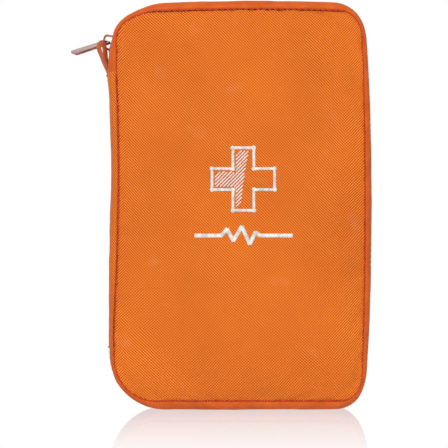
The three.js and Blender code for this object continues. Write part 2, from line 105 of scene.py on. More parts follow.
def left_normals(path):
    """The unit vector square to an open path of 2-D points at each of them, to the left of its direction."""
    tangent = np.gradient(np.asarray(path, float), axis=0)
    tangent /= np.linalg.norm(tangent, axis=1)[:, None]
    return np.stack([-tangent[:, 1], tangent[:, 0]], axis=1)


def settled(points):
    """The sewn shape: the zip side bows out, the top edge drops at its ends and the spine is drawn in.

    The seam beside the spine lies nearer the edge low down and at the top corner.
    """
    p = np.asarray(points, float).reshape(-1, 3).copy()
    across = np.clip((p[:, 0] - CENTRE) / HALF_WIDTH, -1, 1)
    up = np.clip(p[:, 2] / HEIGHT * 2 - 1, -1, 1)
    on_zip_side = np.clip(across, 0, 1) ** 9
    on_spine_side = np.clip(-across, 0, 1) ** 9
    bow = -2.4 * np.abs(up / 0.83) ** 2.4
    waist = 1.1 * np.exp(-(((p[:, 2] - 117) / 28) ** 2)) - 0.9 * np.exp(-(((p[:, 2] - SPINE_TOP) / 9) ** 2))
    droop = -1.0 * ((p[:, 0] - CENTRE - 8) / 46) ** 2 * smooth((up - 0.6) / 0.4)
    from_spine = p[:, 0] - LEFT
    near_seam = smooth((np.abs(p[:, 1]) - SEAM_DEPTH + ROLL_DEPTH) / ROLL_DEPTH * 1.3)
    beside_seam = near_seam * smooth(from_spine / INSET_SPINE) * (1 - smooth((from_spine - 9) / 20))
    droop *= smooth((from_spine - 5) / 14)
    tuck = -1.7 * np.exp(-(((p[:, 2] - 36) / 26) ** 2)) - 1.6 * np.exp(-(((p[:, 2] - 187) / 9) ** 2))
    p[:, 0] += bow * on_zip_side + waist * on_spine_side + tuck * beside_seam
    p[:, 2] += np.clip(droop, -1.6, 0)
    return p


# ---- Mesh helpers ----


def make(name, points, faces, material, pattern=None, sharp=40):
    """A mesh object from points in millimetres. `pattern` holds each point's place on the cloth, in mm."""
    mesh = bpy.data.meshes.new(name)
    mesh.from_pydata((np.asarray(points, float) * MM).tolist(), [], [list(f) for f in faces])
    work = bmesh.new()
    work.from_mesh(mesh)
    bmesh.ops.recalc_face_normals(work, faces=work.faces)
    work.to_mesh(mesh)
    work.free()
    mesh.polygons.foreach_set("use_smooth", [True] * len(mesh.polygons))
    mesh.set_sharp_from_angle(angle=math.radians(sharp))
    if pattern is not None:
        attribute = mesh.attributes.new("cloth", "FLOAT_VECTOR", "POINT")
        attribute.data.foreach_set("vector", np.asarray(pattern, np.float32).ravel())
    piece = bpy.data.objects.new(name, mesh)
    bpy.context.scene.collection.objects.link(piece)
    mesh.materials.append(material)
    return piece


def ring_faces(rings, count, wrap_rings=False, cap=True):
    """Quads between rings of `count` points each, with the two ends closed unless the rings wrap round."""
    faces = []
    for r in range(rings if wrap_rings else rings - 1):
        for i in range(count):
            j = (i + 1) % count
            s = (r + 1) % rings
            faces.append((r * count + i, r * count + j, s * count + j, s * count + i))
    if cap and not wrap_rings:
        faces.append(tuple(range(count - 1, -1, -1)))
        faces.append(tuple((rings - 1) * count + i for i in range(count)))
    return faces


def tube(path, radius, sides=6, flat=1.0, closed=False):
    """Points and faces of a round thread along a path. `flat` squeezes it along the second normal."""
    path = np.asarray(path, float)
    before = np.roll(path, 1, axis=0)
    after = np.roll(path, -1, axis=0)
    if not closed:
        before[0], after[-1] = path[0], path[-1]
    tangent = after - before
    tangent /= np.linalg.norm(tangent, axis=1)[:, None] + 1e-12
    first = np.cross(tangent, np.array([0.0, 1.0, 0.0]))
    weak = np.linalg.norm(first, axis=1) < 1e-3
    first[weak] = np.cross(tangent[weak], np.array([0.0, 0.0, 1.0]))
    first /= np.linalg.norm(first, axis=1)[:, None]
    second = np.cross(tangent, first)
    radii = np.broadcast_to(np.asarray(radius, float), (len(path),))
    points = []
    for k in range(len(path)):
        for i in range(sides):
            turn = 2 * math.pi * i / sides
            offset = first[k] * math.cos(turn) + second[k] * math.sin(turn) * flat
            points.append(path[k] + offset * radii[k])
    return np.array(points), ring_faces(len(path), sides, wrap_rings=closed)


def joined(parts):
    """Several (points, faces) as one."""
    points, faces, start = [], [], 0
    for part_points, part_faces in parts:
        points.append(np.asarray(part_points, float))
        faces += [tuple(i + start for i in face) for face in part_faces]
        start += len(part_points)
    return np.vstack(points), faces


def closed_grid(rows, columns):
    """Faces of a grid of points, of its copy behind it and of the rim between them. Also the rim."""
    count = rows * columns
    faces = []
    for r in range(rows - 1):
        for c in range(columns - 1):
            a = r * columns + c
            quad = (a, a + 1, a + columns + 1, a + columns)
            faces += [quad, tuple(i + count for i in reversed(quad))]
    rim = [r * columns for r in range(rows)] + [(rows - 1) * columns + c for c in range(1, columns)]
    rim += [r * columns + columns - 1 for r in range(rows - 2, -1, -1)] + list(range(columns - 2, 0, -1))
    for a, b in zip(rim, rim[1:] + rim[:1]):
        faces.append((a, b, b + count, a + count))
    return faces, rim


def squared_ring(count, across_power, up_power):
    """Points (across, up) of a ring that reaches from -1 to 1, squarer where its powers are smaller."""
    ring = []
    for k in range(count):
        turn = math.radians(360 / count * k)
        c, s = math.cos(turn), math.sin(turn)
        ring.append((math.copysign(abs(c) ** across_power, c), math.copysign(abs(s) ** up_power, s)))
    return ring


def runs_inside(points, inside, least):
    """The stretches of a row of points that lie inside, where they have at least this many points."""
    runs = [[]]
    for point in points:
        if inside(point):
            runs[-1].append(point)
        else:
            runs.append([])
    return [run for run in runs if len(run) >= least]


def name_finish(replaced):
    if replaced:
        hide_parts(*replaced)


def finish_piece(piece, body, slot, *replaced):
    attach(piece, body)
    name_finish(replaced)


def bend_piece(piece, side, slot, *replaced):
    """A piece of a shell's side: its transform is baked into its mesh and the CAD nodes it replaces are
    hidden.
    """
    if side < 0:
        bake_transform(piece)
    else:
        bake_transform(piece)
    name_finish(replaced)


# ---- Outline of the pouch: each station is (outer x, z, seam x, z, outward x, z) ----


def corner(across, up, from_angle, steps=22):
    """Stations round one corner: `across` is -1 on the spine side, and `up` is -1 at the bottom."""
    outer_radius = SPINE_RADIUS if across < 0 else ZIP_RADIUS
    seam_radius = SEAM_SPINE_RADIUS if across < 0 else SEAM_ZIP_RADIUS
    edge = np.array([LEFT if across < 0 else RIGHT, HEIGHT if up > 0 else 0])
    inset = np.array([INSET_SPINE if across < 0 else INSET_ZIP, INSET_TOP if up > 0 else INSET_BOTTOM])
    towards = np.array([across, up])
    stations = []
    for i in range(steps + 1):
        turn = math.radians(from_angle - 90 * i / steps)
        outward = np.array([math.cos(turn), math.sin(turn)])
        outer = edge - towards * outer_radius + outer_radius * outward
        seam = edge - towards * (inset + seam_radius) + seam_radius * outward
        stations.append(np.array([*outer, *seam, *outward]))
    return stations


def spine_station(z):
    return np.array([LEFT, z, LEFT + INSET_SPINE, z, -1, 0])


def stepped(stations, step):
    """The same run with its straight stretches divided into steps of about this length."""
    run = [stations[0]]
    for a, b in zip(stations, stations[1:]):
        count = max(1, round(np.hypot(*(b[:2] - a[:2])) / step))
        run += [a + (b - a) * k / count for k in range(1, count + 1)]
    return np.array(run)


ZIP_RUN = stepped(
    [
        spine_station(SPINE_TOP),
        *corner(-1, 1, 180),
        *corner(1, 1, 90),
        *corner(1, -1, 0),
        *corner(-1, -1, -90),
        spine_station(SPINE_BOTTOM),
    ],
    1.8,
)
SPINE_RUN = stepped([spine_station(SPINE_BOTTOM), spine_station(SPINE_TOP)], 1.8)
OUTLINE = np.vstack([ZIP_RUN, SPINE_RUN[1:-1]])


def length_along(run):
    return travelled(run[:, :2])


def even_run(run, step):
    """Stations at an even spacing along the outline, for stitches and coils."""
    along = length_along(run)
    wanted = np.linspace(0, along[-1], int(along[-1] / step) + 1)
    return np.stack([np.interp(wanted, along, run[:, k]) for k in range(run.shape[1])], axis=1)


def placed(station, roll, depth, y):
    """A point at a station: `roll` is 0 on the outline and 1 on the seam, `depth` is inward from that."""
    x = station[0] + (station[2] - station[0]) * roll - station[4] * depth
    z = station[1] + (station[3] - station[1]) * roll - station[5] * depth
    return np.array([x, y, z])


# ---- The seam line as a closed curve, and the height of a padded panel inside it ----

FLAT_SEAM = np.array([placed(s, 1, 0, 0) for s in OUTLINE])[:, [0, 2]]
SEAM = settled(np.insert(FLAT_SEAM, 1, SEAM_DEPTH, axis=1))[:, [0, 2]]


def seam_distance(xz):
    """How far inside the seam each point is, and how far along the seam the nearest place is."""
    span = np.roll(FLAT_SEAM, -1, axis=0) - FLAT_SEAM
    length = np.hypot(*span.T)
    along = np.concatenate([[0], np.cumsum(length)[:-1]])
    best = np.full(len(xz), np.inf)
    where = np.zeros(len(xz))
    for k, start in enumerate(FLAT_SEAM):
        rel = xz - start
        t = np.clip(rel @ span[k] / length[k] ** 2, 0, 1)
        distance = np.hypot(*(rel - t[:, None] * span[k]).T)
        nearer = distance < best
        best[nearer] = distance[nearer]
        where[nearer] = along[k] + t[nearer] * length[k]
    return best, where


def seam_sides(z):
    """The seam's x on the spine side and on the zip side at each height."""
    sides = []
    for edge, inset, radius, sign in (
        (LEFT, INSET_SPINE, SEAM_SPINE_RADIUS, 1),
        (RIGHT, INSET_ZIP, SEAM_ZIP_RADIUS, -1),
    ):
        into_corner = np.clip(radius - np.minimum(z - INSET_BOTTOM, HEIGHT - INSET_TOP - z), 0, radius)
        sides.append(edge + sign * (inset + radius - np.sqrt(radius**2 - into_corner**2)))
    return sides


# ---- Materials ----


def add_node(tree, kind, inputs=(), **settings):
    """A new node. `inputs` gives each input a value, or the output to link to it."""
    made = tree.nodes.new(kind)
    for key, value in settings.items():
        setattr(made, key, value)
    for key, value in dict(inputs).items():
        if isinstance(value, bpy.types.NodeSocket):
            tree.links.new(value, made.inputs[key])
        else:
            made.inputs[key].default_value = value
    return made


class Shade:
    """A Principled material with helpers that add nodes and return their outputs."""

    def __init__(self, name, **sockets):
        self.material = bpy.data.materials.new(name)
        self.material.use_nodes = True
        self.tree = self.material.node_tree
        self.shader = self.tree.nodes["Principled BSDF"]
        for socket, value in sockets.items():
            self.shader.inputs[socket.replace("_", " ")].default_value = value

    def node(self, kind, inputs=(), **settings):
        return add_node(self.tree, kind, inputs, **settings)

    def math(self, operation, *values):
        return self.node("ShaderNodeMath", enumerate(values), operation=operation).outputs[0]

    def wave(self, value, period):
        return self.math("COSINE", self.math("MULTIPLY", value, 2 * math.pi / period))

    def cloth(self):
        """The point on the cloth, in mm, and its three coordinates."""
        point = self.node("ShaderNodeAttribute", attribute_name="cloth").outputs["Vector"]
        return point, *self.split(point)

    def place(self):
        """The point of the object, in mm."""
        point = self.node("ShaderNodeTexCoord").outputs["Object"]
        return self.node("ShaderNodeVectorMath", {0: point, 3: 1 / MM}, operation="SCALE").outputs[0]

    def split(self, vector):
        return self.node("ShaderNodeSeparateXYZ", {0: vector}).outputs

    def noise(self, vector, scale, detail=2.0, roughness=0.5):
        inputs = {"Vector": vector, "Scale": scale, "Detail": detail, "Roughness": roughness}
        return self.node("ShaderNodeTexNoise", inputs).outputs["Fac"]

    def ramp(self, factor, *stops):
        made = self.node("ShaderNodeValToRGB", {0: factor})
        elements = made.color_ramp.elements
        while len(elements) < len(stops):
            elements.new(0.5)
        for element, (position, color) in zip(elements, stops):
            element.position = position
            element.color = linear(color)
        return made.outputs[0]

    def level(self, factor, low, high, to_low=0.0, to_high=1.0):
        inputs = {0: factor, 1: low, 2: high, 3: to_low, 4: to_high}
        return self.node("ShaderNodeMapRange", inputs, interpolation_type="SMOOTHSTEP").outputs[0]

    def blend(self, factor, first, second, kind="MIX"):
        if isinstance(second, tuple):
            second = linear(second)
        inputs = {0: factor, 6: first, 7: second}
        return self.node("ShaderNodeMix", inputs, data_type="RGBA", blend_type=kind).outputs[2]

    def bump(self, height, distance, strength=1.0, **over):
        inputs = {"Height": height, "Distance": distance * MM, "Strength": strength, **over}
        return self.node("ShaderNodeBump", inputs).outputs[0]

    def finished(self, color, normal, **others):
        for socket, output in {"Base Color": color, "Normal": normal, **others}.items():
            self.tree.links.new(output, self.shader.inputs[socket])
        return self.material


def linear(color):
    """Linear red, green, blue and full alpha of an 8-bit display colour."""
    return (*(((c / 255 + 0.055) / 1.055) ** 2.4 if c > 10 else c / 255 / 12.92 for c in color), 1)


def diagonals(shade, u, v, pitch, twill):
    """Height of a weave, 0 to 1: threads that cross in a checker, with one diagonal stronger by `twill`."""
    rising = shade.wave(shade.math("ADD", u, v), 2 * pitch)
    falling = shade.wave(shade.math("SUBTRACT", u, v), 2 * pitch)
    bias = shade.math("MULTIPLY", twill, 0.5)
    first = shade.math("MULTIPLY", rising, shade.math("ADD", 0.5, bias))
    second = shade.math("MULTIPLY", falling, shade.math("SUBTRACT", 0.5, bias))
    return shade.math("MULTIPLY_ADD", shade.math("ADD", first, second), 0.5, 0.5)


def oxford_fabric():
    """Coarse woven oxford: shiny threads with dark gaps, whose diagonals change direction over the panel."""
    shade = Shade(
        "oxford_fabric", Roughness=0.62, Specular_IOR_Level=0.14, Sheen_Weight=0.06, Sheen_Roughness=0.4
    )
    vector, u, v, way = shade.cloth()
    drift = shade.math("MULTIPLY", shade.math("SUBTRACT", shade.noise(vector, 0.03, 1.0), 0.5), 3.0)
    twill = shade.math("ADD", way, shade.level(shade.noise(vector, 0.025, 2.0), 0.35, 0.65, -0.5, 0.4))
    twill = shade.node("ShaderNodeClamp", {0: twill, 1: -0.9, 2: 0.9}).outputs[0]
    height = diagonals(shade, shade.math("ADD", u, drift), v, 0.69, twill)
    threads = shade.ramp(height, (0.12, DARK), (0.5, MIDDLE), (0.9, LIGHT))
    patches = shade.ramp(shade.noise(vector, 0.018, 3.0), (0.3, (238, 232, 228)), (0.7, (255, 255, 255)))
    # Pale pinkish patches blended into the weave colour: a painted sheen highlight.
    painted_sheen_patches = shade.level(shade.noise(vector, 0.05, 2.0), 0.62, 0.8, 0.0, 0.18)
    color = shade.blend(painted_sheen_patches, shade.blend(1.0, threads, patches, "MULTIPLY"), (232, 160, 120))
    weave = shade.math("MULTIPLY_ADD", shade.noise(vector, 5.0, 2.0), 0.2, height)
    gloss = shade.level(height, 0.0, 1.0, 0.8, 0.5)
    return shade.finished(color, shade.bump(weave, 0.16, 0.7), Roughness=gloss)


def fine_cloth(name, dark, light, pitch, patch=(226, 222, 220)):
    """Fine, nearly smooth woven cloth."""
    shade = Shade(name, Roughness=0.7, Specular_IOR_Level=0.15, Sheen_Weight=0.08, Sheen_Roughness=0.4)
    vector, u, v, _ = shade.cloth()
    height = diagonals(shade, u, v, pitch, 0.3)
    slub = shade.noise(vector, 0.12, 3.0)
    threads = shade.ramp(height, (0.1, dark), (0.9, light))
    tone = shade.ramp(slub, (0.3, patch), (0.7, (255, 255, 255)))
    relief = shade.bump(shade.math("MULTIPLY_ADD", slub, 0.6, height), 0.05, 0.8)
    return shade.finished(shade.blend(1.0, threads, tone, "MULTIPLY"), relief)


def ribbed_cloth(name, dark, light, pitch, relief=0.12):
    """Tape, ribbon or elastic: ribs across its width, with a fine thread texture between them."""
    shade = Shade(name, Roughness=0.75, Sheen_Weight=0.2, Sheen_Roughness=0.4)
    vector, u, v, _ = shade.cloth()
    ribs = shade.math("MULTIPLY_ADD", shade.wave(v, pitch * 0.8), 0.35, shade.wave(u, pitch))
    height = shade.math("MULTIPLY_ADD", ribs, 0.35, 0.5)
    threads = shade.ramp(height, (0.0, dark), (1.0, light))
    tone = shade.ramp(shade.noise(vector, 0.3, 3.0), (0.25, (222, 220, 218)), (0.75, (255, 255, 255)))
    return shade.finished(shade.blend(1.0, threads, tone, "MULTIPLY"), shade.bump(height, relief, 0.9))


def thread(name, color, roughness=0.55):
    """Twisted sewing thread."""
    shade = Shade(name, Roughness=roughness, Sheen_Weight=0.06, Sheen_Roughness=0.3)
    vector = shade.place()
    x, y, z = shade.split(vector)
    twist = shade.math("SINE", shade.math("MULTIPLY", shade.math("ADD", x, shade.math("ADD", y, z)), 14.0))
    dark = tuple(c * 0.82 for c in color)
    tone = shade.ramp(shade.noise(vector, 0.5, 2.0), (0.3, dark), (0.7, color))
    return shade.finished(tone, shade.bump(twist, 0.05, 0.6))


def lacquered_metal():
    """Zinc zip hardware under dark red lacquer, with pale pinkish patches that are a painted highlight."""
    shade = Shade("zip_metal", Metallic=0.35, Roughness=0.3, Coat_Weight=0.6, Coat_Roughness=0.12)
    vector = shade.place()
    lacquer_tone_and_glint = shade.noise(vector, 0.22, 4.0, 0.6)
    grain = shade.noise(vector, 1.8, 3.0)
    # The ramp's pale pink end is a painted highlight; its darker stops are the lacquer's own tone.
    color = shade.ramp(lacquer_tone_and_glint, (0.3, (112, 44, 34)), (0.55, (150, 84, 68)), (0.8, (196, 150, 136)))
    gloss = shade.level(grain, 0.3, 0.7, 0.22, 0.42)
    return shade.finished(color, shade.bump(grain, 0.03, 0.4), Roughness=gloss)


def plastic(name, dark, light, roughness):
    """Moulded plastic with a faint orange-peel surface."""
    shade = Shade(name, Roughness=roughness)
    vector = shade.place()
    peel = shade.noise(vector, 3.0, 2.0)
    color = shade.ramp(shade.noise(vector, 0.4, 3.0), (0.3, dark), (0.7, light))
    gloss = shade.level(peel, 0.3, 0.7, roughness - 0.06, roughness + 0.08)
    return shade.finished(color, shade.bump(peel, 0.02, 0.5), Roughness=gloss)


def brushed_steel():
    """Stainless steel brushed along its length, with faint smudges."""
    shade = Shade("tool_steel", Metallic=1.0, Roughness=0.28)
    vector = shade.place()
    x, y, z = shade.split(vector)
    lengthened = {0: x, 1: y, 2: shade.math("MULTIPLY", z, 0.06)}
    brush = shade.noise(shade.node("ShaderNodeCombineXYZ", lengthened).outputs[0], 6.0, 3.0)
    color = shade.ramp(brush, (0.3, (178, 181, 184)), (0.7, (196, 198, 200)))
    smudge = shade.level(shade.noise(vector, 0.15, 2.0), 0.35, 0.7, 0.2, 0.4)
    return shade.finished(color, shade.bump(brush, 0.006, 0.4), Roughness=smudge)


def clear_vinyl():
    """Clear soft vinyl, faintly cloudy and glossy."""
    shade = Shade("clear_vinyl", Roughness=0.12, Alpha=0.3)
    vector = shade.place()
    cloud = shade.noise(vector, 0.08, 3.0)
    color = shade.ramp(cloud, (0.3, (214, 222, 226)), (0.7, (240, 244, 246)))
    relief = shade.bump(shade.noise(vector, 0.12, 2.0), 0.4, 0.5)
    return shade.finished(color, relief, Alpha=shade.level(cloud, 0.3, 0.7, 0.09, 0.18))


def bandage(name, dark, light, pitch, crinkle):
    """Open woven bandage: crossed yarns with gaps, crinkled across its length."""
    shade = Shade(name, Roughness=0.9, Sheen_Weight=0.3, Sheen_Roughness=0.6)
    vector, u, v, _ = shade.cloth()
    warp = shade.wave(u, pitch)
    weft = shade.wave(shade.math("MULTIPLY_ADD", shade.noise(vector, 0.4, 2.0), 0.6, v), pitch * 1.1)
    height = shade.math("MULTIPLY_ADD", shade.math("ADD", warp, weft), 0.25, 0.5)
    across = shade.node("ShaderNodeCombineXYZ", {0: u, 1: 0.0, 2: v}).outputs[0]
    relief = shade.bump(shade.noise(across, crinkle, 3.0), 0.5, 0.6, Normal=shade.bump(height, 0.15, 0.8))
    return shade.finished(shade.ramp(height, (0.1, dark), (0.6, light)), relief)


def packet_paper(name, ground, band, low, high):
    """Coated packet paper with a printed colour band between two heights on the cloth, and soft creases."""
    shade = Shade(name, Roughness=0.45)
    vector, _, v, _ = shade.cloth()
    paper = shade.ramp(shade.noise(vector, 1.5, 3.0), (0.3, tuple(c * 0.96 for c in ground)), (0.7, ground))
    inside = shade.math("MULTIPLY", shade.math("GREATER_THAN", v, low), shade.math("LESS_THAN", v, high))
    crease = shade.noise(vector, 0.14, 4.0, 0.65)
    gloss = shade.level(crease, 0.3, 0.7, 0.36, 0.56)
    return shade.finished(shade.blend(inside, paper, band), shade.bump(crease, 1.2, 0.6), Roughness=gloss)


def metallised_foil():
    """Gold-silver rescue foil: mirror-like film with a net of sharp creases."""
    shade = Shade("foil", Metallic=0.95, Roughness=0.2)
    vector = shade.place()
    creases = shade.node("ShaderNodeTexVoronoi", {"Vector": vector, "Scale": 0.12}, feature="F1")
    cloud = shade.noise(vector, 0.1, 3.0)
    color = shade.ramp(cloud, (0.35, (186, 150, 74)), (0.65, (206, 194, 156)))
    relief = shade.bump(creases.outputs["Distance"], 1.6, 0.4)
    return shade.finished(color, relief, Roughness=shade.level(cloud, 0.3, 0.7, 0.24, 0.4))


def plaster_film():
    """Skin-coloured plaster film with rows of air holes."""
    shade = Shade("plaster", Roughness=0.6, Subsurface_Weight=0.05)
    vector, u, v, _ = shade.cloth()
    hole_pitch = 2 * math.pi / 3.1
    rows = shade.math("MULTIPLY", shade.wave(u, hole_pitch), shade.wave(v, hole_pitch))
    holes = shade.level(rows, 0.75, 0.9)
    skin = shade.ramp(shade.noise(vector, 0.3, 3.0), (0.3, (190, 132, 92)), (0.7, (208, 152, 112)))
    relief = shade.bump(shade.math("MULTIPLY", holes, -1.0), 0.2, 0.8)
    return shade.finished(shade.blend(holes, skin, (150, 100, 70)), relief)


def card():
    """Grey-brown roll core with spiral-wound layers."""
    shade = Shade("card_core", Roughness=0.9)
    vector = shade.place()
    layers = shade.math("SINE", shade.math("MULTIPLY", shade.split(vector)[1], 2.4))
    fibre = shade.noise(vector, 1.2, 4.0)
    color = shade.ramp(fibre, (0.3, (164, 142, 106)), (0.7, (196, 174, 136)))
    return shade.finished(color, shade.bump(shade.math("MULTIPLY_ADD", layers, 0.4, fibre), 0.1, 0.7))


DARK, MIDDLE, LIGHT = (190, 76, 6), (220, 106, 15), (251, 144, 48)
OXFORD = oxford_fabric()
SIDE_CLOTH = fine_cloth("side_fabric", (214, 90, 22), (232, 108, 36), 0.42)
LINING_CLOTH = fine_cloth("lining", (74, 77, 81), (98, 101, 106), 0.4, patch=(205, 205, 208))
BINDING = ribbed_cloth("binding", (48, 50, 54), (74, 77, 82), 0.9)
ZIP_TAPE = ribbed_cloth("zip_tape", (192, 76, 16), (226, 108, 36), 0.8)
RIBBON = ribbed_cloth("loop_ribbon", (168, 62, 18), (226, 112, 48), 0.55)
ELASTIC = ribbed_cloth("elastic", (30, 30, 32), (58, 58, 62), 1.1, relief=0.25)
SEAM_THREAD = thread("seam_thread", (206, 60, 6), 0.8)
TOP_THREAD = thread("edge_thread", (222, 104, 34))
WHITE_THREAD = thread("embroidery_thread", (252, 250, 246), 0.45)
METAL = lacquered_metal()
COIL = plastic("zip_coil", (182, 72, 14), (214, 98, 30), 0.35)
STEEL = brushed_steel()
HANDLE = plastic("handle_plastic", (196, 44, 36), (214, 58, 46), 0.32)
VINYL = clear_vinyl()
NET = plastic("net", (38, 39, 41), (60, 61, 64), 0.6)
CREPE = bandage("crepe", (172, 144, 106), (220, 196, 156), 0.9, 0.35)
GAUZE = bandage("gauze", (190, 188, 180), (228, 227, 222), 1.1, 0.2)
STICKING = bandage("cloth_tape", (204, 200, 188), (230, 227, 218), 0.5, 0.1)
FOIL = metallised_foil()
PLASTER = plaster_film()
CARD = card()


# ---- Padded panels ----

EDGE_STEPS = [0, 0.35, 0.8, 1.4, 2.2, 3.3, 4.8, 6.8]
SHOULDER = 0.95
PUCKER_PITCH = 3.4


def panel_grid():
    """Points in x, z that fill the seam line in rows, closer together near it."""
    top, bottom = HEIGHT - INSET_TOP, INSET_BOTTOM
    arc = np.sin(np.linspace(0, math.pi / 2, 12))[1:-1]
    lower = bottom + SEAM_ZIP_RADIUS * (1 - arc[::-1])
    upper = top - SEAM_ZIP_RADIUS * (1 - arc)
    edge = np.array(EDGE_STEPS)
    reach = edge[-1]
    middle = np.arange(bottom + SEAM_ZIP_RADIUS, top - SEAM_ZIP_RADIUS + 0.1, 2.6)
    rows = np.unique(np.round(np.concatenate([bottom + edge[:6], lower, middle, upper, top - edge[:6]]), 2))
    rows = rows[np.concatenate([[True], np.diff(rows) > 0.25])]
    inner = np.linspace(0, 1, 42)[1:-1]
    grid = []
    for z, x0, x1 in zip(rows, *seam_sides(rows)):
        between = x0 + reach + (x1 - x0 - 2 * reach) * inner
        grid.append([(x, z) for x in np.concatenate([x0 + edge, between, x1 - edge[::-1]])])
    return np.array(grid)


def panel_face(grid):
    """The height of the padded face over the zip plane at each grid point, before it is inflated."""
    distance, along = seam_distance(grid.reshape(-1, 2))
    distance = distance.reshape(grid.shape[:2])
    along = along.reshape(grid.shape[:2])
    distance[[0, -1], :] = 0
    distance[:, [0, -1]] = 0
    near = np.clip(distance / 2.4, 0, 1)
    shoulder = SHOULDER * np.sqrt(near * (2 - near))
    swell = (CROWN - 0.3) * (1 - (1 - np.clip(distance / 60, 0, 1)) ** 2.6)
    pucker = 0.16 * np.sin(along * 2 * math.pi / PUCKER_PITCH) * np.exp(-((distance - 1.2) / 1.1) ** 2)
    return SEAM_DEPTH - SHOULDER + shoulder + swell + pucker, distance


def soft_relief(x, z, seed):
    """Slow hollows and swells of a panel stuffed by what is packed behind it."""
    hollows = noise.noise(Vector((x / 46 + seed, z / 46, 0)))
    return 0.55 * hollows + 0.12 * noise.noise(Vector((x / 17, z / 17, seed)))


def inflate(piece, pinned, cap):
    """Cloth simulation with inner pressure. Points that are not pinned move at most about `cap` mm."""
    rest = np.array([v.co for v in piece.data.vertices])
    group = piece.vertex_groups.new(name="sewn")
    group.add([int(i) for i in pinned], 1.0, "REPLACE")
    modifier = piece.modifiers.new("cloth", "CLOTH")
    cloth = modifier.settings
    cloth.vertex_group_mass = "sewn"
    cloth.quality = 6
    cloth.mass = 0.25
    cloth.shrink_min = -0.012
    cloth.bending_stiffness = 0.6
    cloth.use_pressure = True
    cloth.uniform_pressure_force = 4.0
    cloth.effector_weights.gravity = 0
    scene = bpy.context.scene
    for step in range(1, 21):
        scene.frame_set(step)
    shown = piece.evaluated_get(bpy.context.evaluated_depsgraph_get())
    blown = np.array([v.co for v in shown.data.vertices])
    piece.modifiers.remove(modifier)
    piece.vertex_groups.clear()
    scene.frame_set(1)
    moved = (blown - rest) / MM
    far = np.linalg.norm(moved, axis=1)[:, None]
    moved *= np.where(far > 0, cap * np.tanh(far / cap) / np.maximum(far, 1e-9), 0)
    piece.data.vertices.foreach_set("co", (rest + moved * MM).ravel())
    piece.data.update()
    print(f"{piece.name}: simulated, moved {np.abs(moved).max():.2f} mm at most")


def twill_at(x, z):
    """Which diagonal of the weave is the stronger: reversed beside both seams, even low down."""
    if x < LEFT + INSET_SPINE + 3.4 + 1.2 * math.sin(z / 9):
        return -0.9
    by_zip = smooth((x - RIGHT + INSET_ZIP + 14) / 5)
    level = 0.1 + 0.65 * smooth((z - 28) / 60)
    return float(level - (level + 0.7) * by_zip)


def padded_panel(side):
    """A panel's fabric over its foam pad, as one stuffed form sewn down around its edge."""
    grid = panel_grid()
    height, distance = panel_face(grid)
    rows, columns = grid.shape[:2]
    back = LINING_FACE + 0.9
    face, under, pattern = [], [], []
    for (x, z), up, inside in zip(grid.reshape(-1, 2), height.ravel(), distance.ravel()):
        relief = soft_relief(x, z, 3.0 + side) * smooth(inside / 14)
        face.append((x, side * (up + relief), z))
        under.append((x, side * back, z))
        pattern.append((x, z, twill_at(x, z)))
    faces, rim = closed_grid(rows, columns)
    name = NAME_OF[side]
    piece = make(f"{name}_padded_panel", settled(face + under), faces, OXFORD, pattern * 2, sharp=60)
    lining_side = range(rows * columns, 2 * rows * columns)
    inflate(piece, [*rim, *lining_side], 0.9)
    finish_piece(piece, BODY_OF[side], "oxford_fabric", f"{name}_panel", f"{name}_foam_pad")
    return piece


# ---- Side fabric and spine ----


def side_profile(edge, lift):
    """Outline of a shell's side in (roll, depth, y): out of the seam's groove, over the roll, to its edge."""
    outer = [(0.99, 0.0, SEAM_DEPTH - 1.2), (0.955, 0.0, SEAM_DEPTH - 0.55), (0.89, 0.0, SEAM_DEPTH - 0.16)]
    outer.append((0.8, 0.0, SEAM_DEPTH + 0.06))
    for turn in range(18, 91, 9):
        angle = math.radians(turn)
        outer.append((0.9 * (1 - math.sin(angle)), 0.0, SEAM_DEPTH - ROLL_DEPTH * (1 - math.cos(angle))))
    flat = SEAM_DEPTH - ROLL_DEPTH
    for share in (0.12, 0.25, 0.38, 0.5, 0.62, 0.74, 0.86, 0.95):
        y = flat + (edge - flat) * share
        outer.append((0.0, -lift * math.sin(math.pi * share), y))
    outer += [(0.0, 0.15, edge + 0.08), (0.0, 0.6, edge - 0.06), (0.0, WALL - 0.1, edge + 0.1)]
    inner = [(0.0, WALL, edge + 1.0), (0.0, WALL, (edge + flat) / 2), (0.0, WALL, flat)]
    for turn in (70, 45, 20):
        angle = math.radians(turn)
        y = SEAM_DEPTH - WALL - (ROLL_DEPTH - WALL) * (1 - math.cos(angle))
        inner.append((1 - math.sin(angle), WALL, y))
    inner.append((1.0, 0.35, SEAM_DEPTH - 1.9))
    return outer, inner


def side_piece(name, run, side, edge, lift, material, twill, overlap=0.0):
    """A closed strip of fabric along a run of stations, with slow ripples and puckers beside the seam."""
    outer, inner = side_profile(edge, lift)
    profile = outer + inner
    along = length_along(run)
    start = 0.0 if run is ZIP_RUN else 300.0
    across = travelled([(3.6 * roll, y) for roll, _, y in profile])
    points, pattern = [], []
    for station, s in zip(run, along):
        near_end = min(s, along[-1] - s)
        cover = 0.35 * math.exp(-((near_end / 1.3) ** 2)) - overlap if overlap else 0.0
        for k, (roll, depth, y) in enumerate(profile):
            outside = k < len(outer)
            ripple = 0.0
            if outside and k > 2:
                where = Vector(((start + s) / 15, y / 9, side * 2.0))
                ripple = 0.32 * noise.noise(where) + 0.14 * noise.noise(where * 2.7)
                ripple *= 1 - 0.7 * math.exp(-((y - edge) / 1.5) ** 2)
            pucker = 0.12 * math.sin(2 * math.pi * (start + s) / PUCKER_PITCH)
            pucker *= math.exp(-((k - 4.5) / 1.5) ** 2)
            if outside:
                depth += cover
            point = placed(station, roll, depth - ripple * 0.8 - pucker * 0.4, side * y)
            if outside:
                point[1] += side * min(1.0, roll * 1.1) * (ripple * 0.6 + pucker)
            points.append(point)
            pattern.append((across[k], start + s, twill))
    return make(name, settled(points), ring_faces(len(run), len(profile)), material, pattern)


